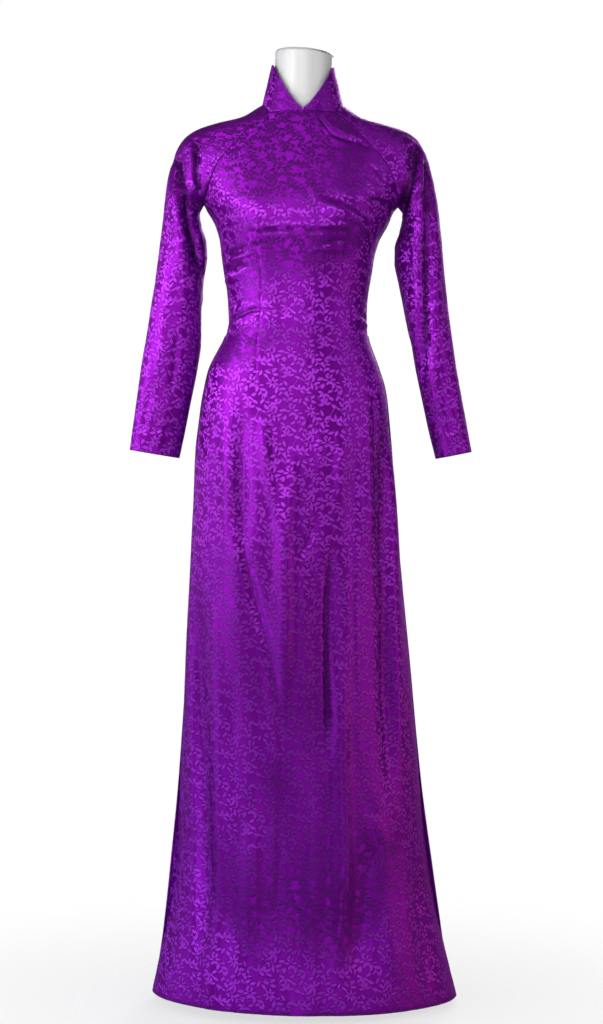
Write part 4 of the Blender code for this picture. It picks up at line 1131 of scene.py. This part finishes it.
def silk_material():
    made = bpy.data.materials.new("purple_leaf_jacquard")
    made.use_nodes = True
    tree = made.node_tree
    shader = tree.nodes["Principled BSDF"]
    n = Nodes(tree)
    uv = n.put("ShaderNodeUVMap", uv_map="grain")
    grain = n.v("MULTIPLY", uv, (1000.0, 1000.0, 0.0))
    # the beat of the weave wanders, so the rows of the repeat are never quite level
    drift = n.put("ShaderNodeTexNoise", {"Vector": n.v("MULTIPLY", grain, (0.011, 0.009, 0.0)), "Scale": 1.0, "Detail": 1.0}, output=1)
    woven = n.v("MULTIPLY_ADD", n.v("SUBTRACT", drift, (0.5, 0.5, 0.5)), (11.0, 17.0, 0.0), grain)
    group = tree.nodes.new("ShaderNodeGroup")
    group.node_tree = jacquard_group()
    tree.links.new(woven, group.inputs[0])
    inside = group.outputs[0]
    motif = n.span(inside, -0.30, 0.30)
    # painted shade: a dark band just outside each motif's edge, standing for the shade beside its raised weave
    rim = n.m("MULTIPLY", n.span(inside, -1.25, -0.30), n.m("SUBTRACT", 1.0, motif))

    # slub: fine vertical and horizontal thread streaks, and slow uneven dye
    warp = n.noise(n.v("MULTIPLY", grain, (1.6, 0.06, 0.0)), 1.0, 2.0)
    weft = n.noise(n.v("MULTIPLY", grain, (0.05, 1.5, 0.0)), 1.0, 2.0)
    threads = n.m("ADD", n.m("MULTIPLY", n.m("SUBTRACT", warp, 0.5), n.m("SUBTRACT", 1.0, motif)),
                  n.m("MULTIPLY", n.m("SUBTRACT", weft, 0.5), motif))
    cloud = n.noise(n.v("MULTIPLY", grain, (0.012, 0.009, 0.0)), 1.0, 3.0)

    # lines sewn into the cloth
    def attribute(name):
        return n.put("ShaderNodeAttribute", output=2, attribute_name=name)

    dart = n.m("MINIMUM", n.m("ABSOLUTE", attribute("dart_l")), n.m("ABSOLUTE", attribute("dart_r")))
    dart_line = n.m("MULTIPLY", n.span(dart, 0.3, 1.4, 1.0, 0.0), 0.5)
    hem_at = attribute("hem")
    hem_line = n.span(n.m("ABSOLUTE", n.m("SUBTRACT", hem_at, 21.0)), 0.2, 0.9, 1.0, 0.0)
    split = n.put("ShaderNodeSeparateXYZ", {0: grain})
    stitch = n.span(n.m("ABSOLUTE", n.m("WRAP", split, 2.1, -2.1)), 0.7, 1.1, 1.0, 0.0)
    hem_stitch = n.m("MULTIPLY", hem_line, stitch)
    edge_line = n.span(attribute("edge"), 0.2, 1.9, 1.0, 0.0)
    sewn = n.m("MAXIMUM", dart_line, n.m("MAXIMUM", n.m("MULTIPLY", hem_stitch, 0.7), n.m("MULTIPLY", edge_line, 0.55)))

    colour = n.mix(motif, GROUND, MOTIF)
    shade = n.m("MULTIPLY_ADD", threads, 0.50, 1.0)
    shade = n.m("MULTIPLY", shade, n.m("MULTIPLY_ADD", n.m("SUBTRACT", cloud, 0.5), 0.30, 1.0))
    # painted shade round the motif edges
    shade = n.m("MULTIPLY", shade, n.m("MULTIPLY_ADD", rim, -0.50, 1.0))
    shade = n.m("MULTIPLY", shade, n.m("MULTIPLY_ADD", sewn, -0.50, 1.0))
    # painted shade: the colour is darkened in the deep, narrow crease troughs
    shade = n.m("MULTIPLY", shade, n.m("MULTIPLY_ADD", attribute("fold_shade"), -0.80, 1.0))
    colour = n.put("ShaderNodeVectorMath", {0: colour, "Scale": shade}, operation="SCALE")
    n.set(shader.inputs["Base Color"], colour)

    rough = n.m("MULTIPLY_ADD", motif, -0.09, 0.57)
    rough = n.m("MULTIPLY_ADD", threads, 0.16, rough)
    n.set(shader.inputs["Roughness"], rough)
    n.set(shader.inputs["Anisotropic Rotation"], n.m("MULTIPLY_ADD", motif, -0.25, 0.25))
    n.set(shader.inputs["Tangent"], n.put("ShaderNodeTangent", direction_type="UV_MAP", uv_map="grain"))

    height = n.m("MULTIPLY", n.span(inside, -0.55, 0.45), 0.20)
    height = n.m("MULTIPLY_ADD", threads, 0.05, height)
    height = n.m("MULTIPLY_ADD", sewn, -0.45, height)
    bump = n.put("ShaderNodeBump", {"Height": height, "Strength": 0.8, "Distance": 0.001})
    n.set(shader.inputs["Normal"], bump)

    shader.inputs["Metallic"].default_value = 0.80
    shader.inputs["Anisotropic"].default_value = 0.90
    shader.inputs["Specular IOR Level"].default_value = 0.40
    shader.inputs["Specular Tint"].default_value = (1.0, 0.60, 1.0, 1)
    shader.inputs["Sheen Weight"].default_value = 0.0
    made.diffuse_color = GROUND
    return made


def lacquer_material():
    made = bpy.data.materials.new("white_form_lacquer")
    made.use_nodes = True
    n = Nodes(made.node_tree)
    shader = made.node_tree.nodes["Principled BSDF"]
    where = n.put("ShaderNodeTexCoord", output=3)
    cloud = n.noise(where, 9.0, 3.0)
    peel = n.noise(where, 260.0, 2.0)
    tone = n.mix(cloud, (0.46, 0.46, 0.46, 1), (0.52, 0.52, 0.525, 1))
    n.set(shader.inputs["Base Color"], tone)
    n.set(shader.inputs["Roughness"], n.span(cloud, 0.3, 0.7, 0.34, 0.44))
    bump = n.put("ShaderNodeBump", {"Height": peel, "Strength": 0.05, "Distance": 0.0006})
    n.set(shader.inputs["Normal"], bump)
    shader.inputs["Coat Weight"].default_value = 0.16
    shader.inputs["Coat Roughness"].default_value = 0.20
    return made


def steel_material():
    made = bpy.data.materials.new("brushed_tube")
    made.use_nodes = True
    n = Nodes(made.node_tree)
    shader = made.node_tree.nodes["Principled BSDF"]
    where = n.put("ShaderNodeTexCoord", output=3)
    brush = n.noise(n.v("MULTIPLY", where, (40.0, 40.0, 1500.0)), 1.0, 3.0)
    cloud = n.noise(where, 22.0, 3.0)
    n.set(shader.inputs["Base Color"], n.mix(cloud, (0.50, 0.50, 0.52, 1), (0.66, 0.66, 0.68, 1)))
    n.set(shader.inputs["Roughness"], n.m("MULTIPLY_ADD", brush, 0.25, 0.18))
    bump = n.put("ShaderNodeBump", {"Height": brush, "Strength": 0.15, "Distance": 0.0003})
    n.set(shader.inputs["Normal"], bump)
    shader.inputs["Metallic"].default_value = 1.0
    return made


def enamel_material():
    made = bpy.data.materials.new("base_enamel")
    made.use_nodes = True
    n = Nodes(made.node_tree)
    shader = made.node_tree.nodes["Principled BSDF"]
    where = n.put("ShaderNodeTexCoord", output=3)
    cloud = n.noise(where, 30.0, 4.0)
    grit = n.noise(where, 900.0, 2.0)
    n.set(shader.inputs["Base Color"], n.mix(cloud, (0.74, 0.74, 0.745, 1), (0.83, 0.83, 0.83, 1)))
    n.set(shader.inputs["Roughness"], n.span(cloud, 0.35, 0.65, 0.30, 0.42))
    bump = n.put("ShaderNodeBump", {"Height": grit, "Strength": 0.12, "Distance": 0.0004})
    n.set(shader.inputs["Normal"], bump)
    return made


def floor_material():
    made = bpy.data.materials.new("pale_floor")
    made.use_nodes = True
    tree = made.node_tree
    n = Nodes(tree)
    shader = tree.nodes["Principled BSDF"]
    where = n.put("ShaderNodeTexCoord", output=3)
    grain = n.noise(where, 3.0, 3.0)
    n.set(shader.inputs["Base Color"], n.mix(grain, (0.86, 0.86, 0.86, 1), (0.90, 0.90, 0.90, 1)))
    shader.inputs["Roughness"].default_value = 0.7
    reach = n.v("LENGTH", n.v("MULTIPLY", where, (1.0, 1.0, 0.0)), output=1)
    n.set(shader.inputs["Alpha"], n.span(reach, 0.12, 0.95, 0.34, 0.0))
    return made


# ---------------------------------------------------------------------------- build it all
silk = silk_material()
lacquer, steel, enamel, pale = lacquer_material(), steel_material(), enamel_material(), floor_material()

front = panel_sheet("front", 270, SKIRT_FRONT, ACROSS_FRONT, 11, dict(dart_l=DART_LEFT, dart_r=DART_RIGHT)).made("tunic_front", silk)
back = panel_sheet("back", 230, SKIRT_BACK, ACROSS_BACK, 31, dict(dart_l=BACK_DART_LEFT, dart_r=BACK_DART_RIGHT)).made("tunic_back", silk)
left = sleeve_sheet(RAGLAN_LEFT, SLEEVE_LEFT, False, SLEEVE_FOLDS_LEFT, SLEEVE_ACROSS_LEFT, 51).made("tunic_sleeve_left", silk)
right = sleeve_sheet(RAGLAN_RIGHT, SLEEVE_RIGHT, True, SLEEVE_FOLDS_RIGHT, SLEEVE_ACROSS_RIGHT, 61).made("tunic_sleeve_right", silk)
collar = collar_sheet().made("tunic_collar", silk)


def form_piece():
    """The dress form, lofted finely, with a softly rounded rim to its neck and its foot."""
    columns = {k: smooth(FORM["z"], FORM[k]) for k in FORM if k != "z"}
    around = 176
    levels = list(np.r_[np.linspace(800, 830, 12), np.linspace(830, 1360, 120)[1:], np.linspace(1360, 1512, 56)[1:]])
    turn = np.linspace(-math.pi, math.pi, around, endpoint=False)
    sine, cosine = np.sin(turn), np.cos(turn)
    rows = []

    def ring(z, shrink=0.0, drop=0.0):
        left, right, sq = (float(columns[k](z)) for k in ("left", "right", "sq"))
        x = (left + right) / 2 + ((right - left) / 2 - shrink) * np.sign(sine) * np.abs(sine) ** (2 / sq)
        reach = np.where(cosine > 0, columns["front"](z), columns["back"](z)) - shrink
        y = -np.sign(cosine) * reach * np.abs(cosine) ** (2 / sq)
        y = y - np.where(cosine > 0, bust(x, z) * np.clip(cosine * 1.6, 0, 1), 0)
        blend = ramp((z - 1470) / 44)
        return np.stack([x, y, z + blend * NECK_SLOPE * x - drop], axis=-1)

    for z in levels:
        rows.append(ring(z))
    for a in np.linspace(0, 90, 8)[1:]:
        a = math.radians(a)
        rows.append(ring(1514, 2.6 * (1 - math.cos(a)), 2.6 * (1 - math.sin(a)) - 0.0))
    for shrink in (8, 18, 30, 40):
        rows.append(ring(1514, shrink, 0.0))
    grid = np.array(rows)
    count = len(grid)
    points = grid.reshape(-1, 3).tolist()
    faces = []
    for r in range(count - 1):
        for c in range(around):
            a, b = r * around + c, r * around + (c + 1) % around
            faces.append((a, b, b + around, a + around))
    top = grid[-1].mean(axis=0)
    points.append(top.tolist())
    last = (count - 1) * around
    faces += [(last + c, last + (c + 1) % around, len(points) - 1) for c in range(around)]
    foot = grid[0].mean(axis=0)
    points.append(foot.tolist())
    faces += [((c + 1) % around, c, len(points) - 1) for c in range(around)]
    mesh = bpy.data.meshes.new("form_body")
    mesh.from_pydata(((np.array(points) + np.array([0, AXIS_Y, 0])) * MM).tolist(), [], faces)
    mesh.validate()
    mesh.shade_smooth()
    mesh.materials.append(lacquer)
    made = bpy.data.objects.new("form_body", mesh)
    bpy.context.scene.collection.objects.link(made)
    return made


def turned_piece(name, profile, finish, steps):
    """A body of revolution about the pole's axis, from (radius, z) pairs."""
    points, faces = [], []
    for radius, z in profile:
        for k in range(steps):
            a = 2 * math.pi * k / steps
            points.append((radius * math.cos(a) * MM, radius * math.sin(a) * MM, z * MM))
    for r in range(len(profile) - 1):
        for k in range(steps):
            a, b = r * steps + k, r * steps + (k + 1) % steps
            faces.append((a, b, b + steps, a + steps))
    faces.append(tuple(range(steps))[::-1])
    last = (len(profile) - 1) * steps
    faces.append(tuple(last + k for k in range(steps)))
    mesh = bpy.data.meshes.new(name)
    mesh.from_pydata(points, [], faces)
    mesh.validate()
    mesh.shade_smooth()
    mesh.set_sharp_from_angle(angle=math.radians(50))
    mesh.materials.append(finish)
    made = bpy.data.objects.new(name, mesh)
    bpy.context.scene.collection.objects.link(made)
    return made


form = form_piece()
pole = turned_piece(
    "stand_tube",
    [(11.3, 13.3), (12.2, 13.5), (12.5, 14.2)] + [(12.5, z) for z in np.linspace(20, 790, 40)] + [(12.5, 799.0), (12.2, 799.6), (11.3, 799.7)],
    steel, 64,
)
base = turned_piece(
    "stand_disc",
    [(110.4, 0.0), (111.2, 0.15), (111.8, 0.6), (112.0, 1.3), (112.0, 5.0), (111.7, 6.3), (110.9, 7.2), (109.6, 7.75),
     (104, 8.6), (92, 9.6), (76, 10.8), (58, 11.7), (40, 12.3), (26, 12.75), (20.5, 12.95), (13.2, 13.0), (12.8, 12.8), (11.0, 12.8)],
    enamel, 128,
)

cloth = {
    front: ("front_panel", (0.616, 1.486), ["dress_form"]),
    back: ("back_panel", (0.580, 1.490), ["dress_form"]),
    left: ("sleeve_left", (0.276, 0.640), ["dress_form"]),
    right: ("sleeve_right", (0.276, 0.640), ["dress_form"]),
    collar: ("collar", (0.392, 0.100), ["dress_form"]),
}
for piece, (node, flat, rests) in cloth.items():
    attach(piece, "root")
    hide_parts(node)
for piece, node, slot in ((form, "dress_form", "form"), (pole, "stand_pole", "pole"), (base, "stand_base", "base")):
    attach(piece, "root")
    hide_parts(node)

# ------------------------------------------------------------------- floor, light, camera
mesh = bpy.data.meshes.new("studio_floor")
ring = [(2.6 * math.cos(2 * math.pi * k / 96), 2.6 * math.sin(2 * math.pi * k / 96), -0.0005) for k in range(96)]
mesh.from_pydata(ring, [], [tuple(range(96))])
mesh.materials.append(pale)
floor = bpy.data.objects.new("studio_floor", mesh)
bpy.context.scene.collection.objects.link(floor)


def area_light(name, place, target, size, power, colour=(1, 1, 1), spread=180):
    data = bpy.data.lights.new(name, "AREA")
    data.shape = "RECTANGLE"
    data.size, data.size_y = size
    data.energy = power
    data.color = colour
    data.spread = math.radians(spread)
    made = bpy.data.objects.new(name, data)
    made.location = place
    made.visible_camera = False
    made.rotation_mode = "QUATERNION"
    made.rotation_quaternion = (Vector(target) - Vector(place)).to_track_quat("-Z", "Y")
    bpy.context.scene.collection.objects.link(made)
    return made


area_light("key", (-1.62, -0.86, 1.42), (0.0, 0.0, 1.22), (1.3, 1.2), 3.35, spread=66)
area_light("key_high", (-1.5, -1.0, 2.05), (0.0, 0.0, 1.3), (1.2, 0.8), 1.0, spread=110)
area_light("hip_key", (-1.65, -0.6, 1.55), (0.0, 0.0, 0.92), (0.6, 0.4), 0.80, spread=34)
area_light("waist_key", (-1.45, -1.3, 1.36), (0.06, 0.0, 1.16), (0.4, 0.5), 0.20, spread=15)
area_light("collar_key", (-1.3, -1.5, 1.90), (-0.03, 0.0, 1.46), (0.3, 0.3), 0.05, spread=12)
area_light("left_rim", (-1.6, 0.6, 0.95), (0.0, 0.0, 0.90), (1.6, 0.6), 2.2, spread=110)
area_light("front_wide", (-0.1, -2.25, 1.70), (0.0, 0.0, 1.45), (2.2, 0.8), 2.85, spread=60)
area_light("front_left", (-1.0, -1.95, 1.50), (0.0, 0.0, 1.30), (0.7, 0.9), 0.7, spread=60)
area_light("skirt_fill", (0.15, -2.4, 1.55), (0.05, 0.0, 0.10), (1.8, 0.6), 1.37, spread=46)
area_light("right_key", (1.62, -0.86, 1.35), (0.0, 0.0, 0.85), (1.3, 1.2), 2.1, spread=70)
area_light("right_high", (1.5, -1.1, 2.25), (0.0, 0.0, 1.0), (0.9, 0.8), 1.6)
area_light("under_bust", (-0.2, -2.25, 0.5), (0.0, 0.0, 1.42), (1.6, 0.4), 2.2, spread=42)
area_light("left_low", (-1.13, -1.65, 0.30), (-0.46, 0.0, 0.14), (0.5, 0.5), 1.2, (0.78, 0.85, 1.0), spread=24)
area_light("left_low_side", (-1.85, -0.3, 0.45), (0.0, 0.0, 0.35), (0.9, 0.7), 7.0, (0.78, 0.84, 1.0))
area_light("right_fill", (1.25, -2.0, 1.2), (0.16, 0.0, 0.06), (0.8, 0.6), 0.30, (1.0, 0.90, 1.0), spread=38)
area_light("right_low", (1.8, -0.5, 0.45), (0.0, 0.0, 0.35), (0.8, 0.7), 1.25, (1.0, 0.54, 0.46), spread=80)
area_light("right_rim", (1.75, 0.6, 0.45), (0.0, 0.0, 0.35), (1.2, 0.6), 1.3, (1.0, 0.74, 0.86))
area_light("hem_front", (0.1, -2.0, 0.42), (0.08, 0.0, 0.05), (1.8, 0.18), 0.52, (0.82, 0.86, 1.0), spread=28)
area_light("back_fill", (0.9, 3.2, 2.4), (0.0, 0.0, 0.8), (2.0, 1.8), 60)

world = bpy.data.worlds.new("studio")
bpy.context.scene.world = world
world.use_nodes = True
wn = Nodes(world.node_tree)
sky = world.node_tree.nodes["Background"]
sky.inputs["Color"].default_value = (1, 1, 1, 1)
sky.inputs["Strength"].default_value = 0.15
seen = wn.put("ShaderNodeBackground", {"Color": (1, 1, 1, 1), "Strength": 1.0})
direct = wn.put("ShaderNodeLightPath", output=0)
both = wn.put("ShaderNodeMixShader", {0: direct, 1: sky.outputs[0], 2: seen})
world.node_tree.links.new(both, world.node_tree.nodes["World Output"].inputs["Surface"])
bpy.context.scene.view_settings.view_transform = "Standard"

data = bpy.data.cameras.new("camera")
camera = bpy.data.objects.new("camera", data)
camera.location = (0.0, -3.206, 0.78)
camera.rotation_euler = (math.pi / 2, 0, 0)
data.sensor_width = 36
data.lens = 70.31
bpy.context.scene.collection.objects.link(camera)
bpy.context.scene.camera = camera
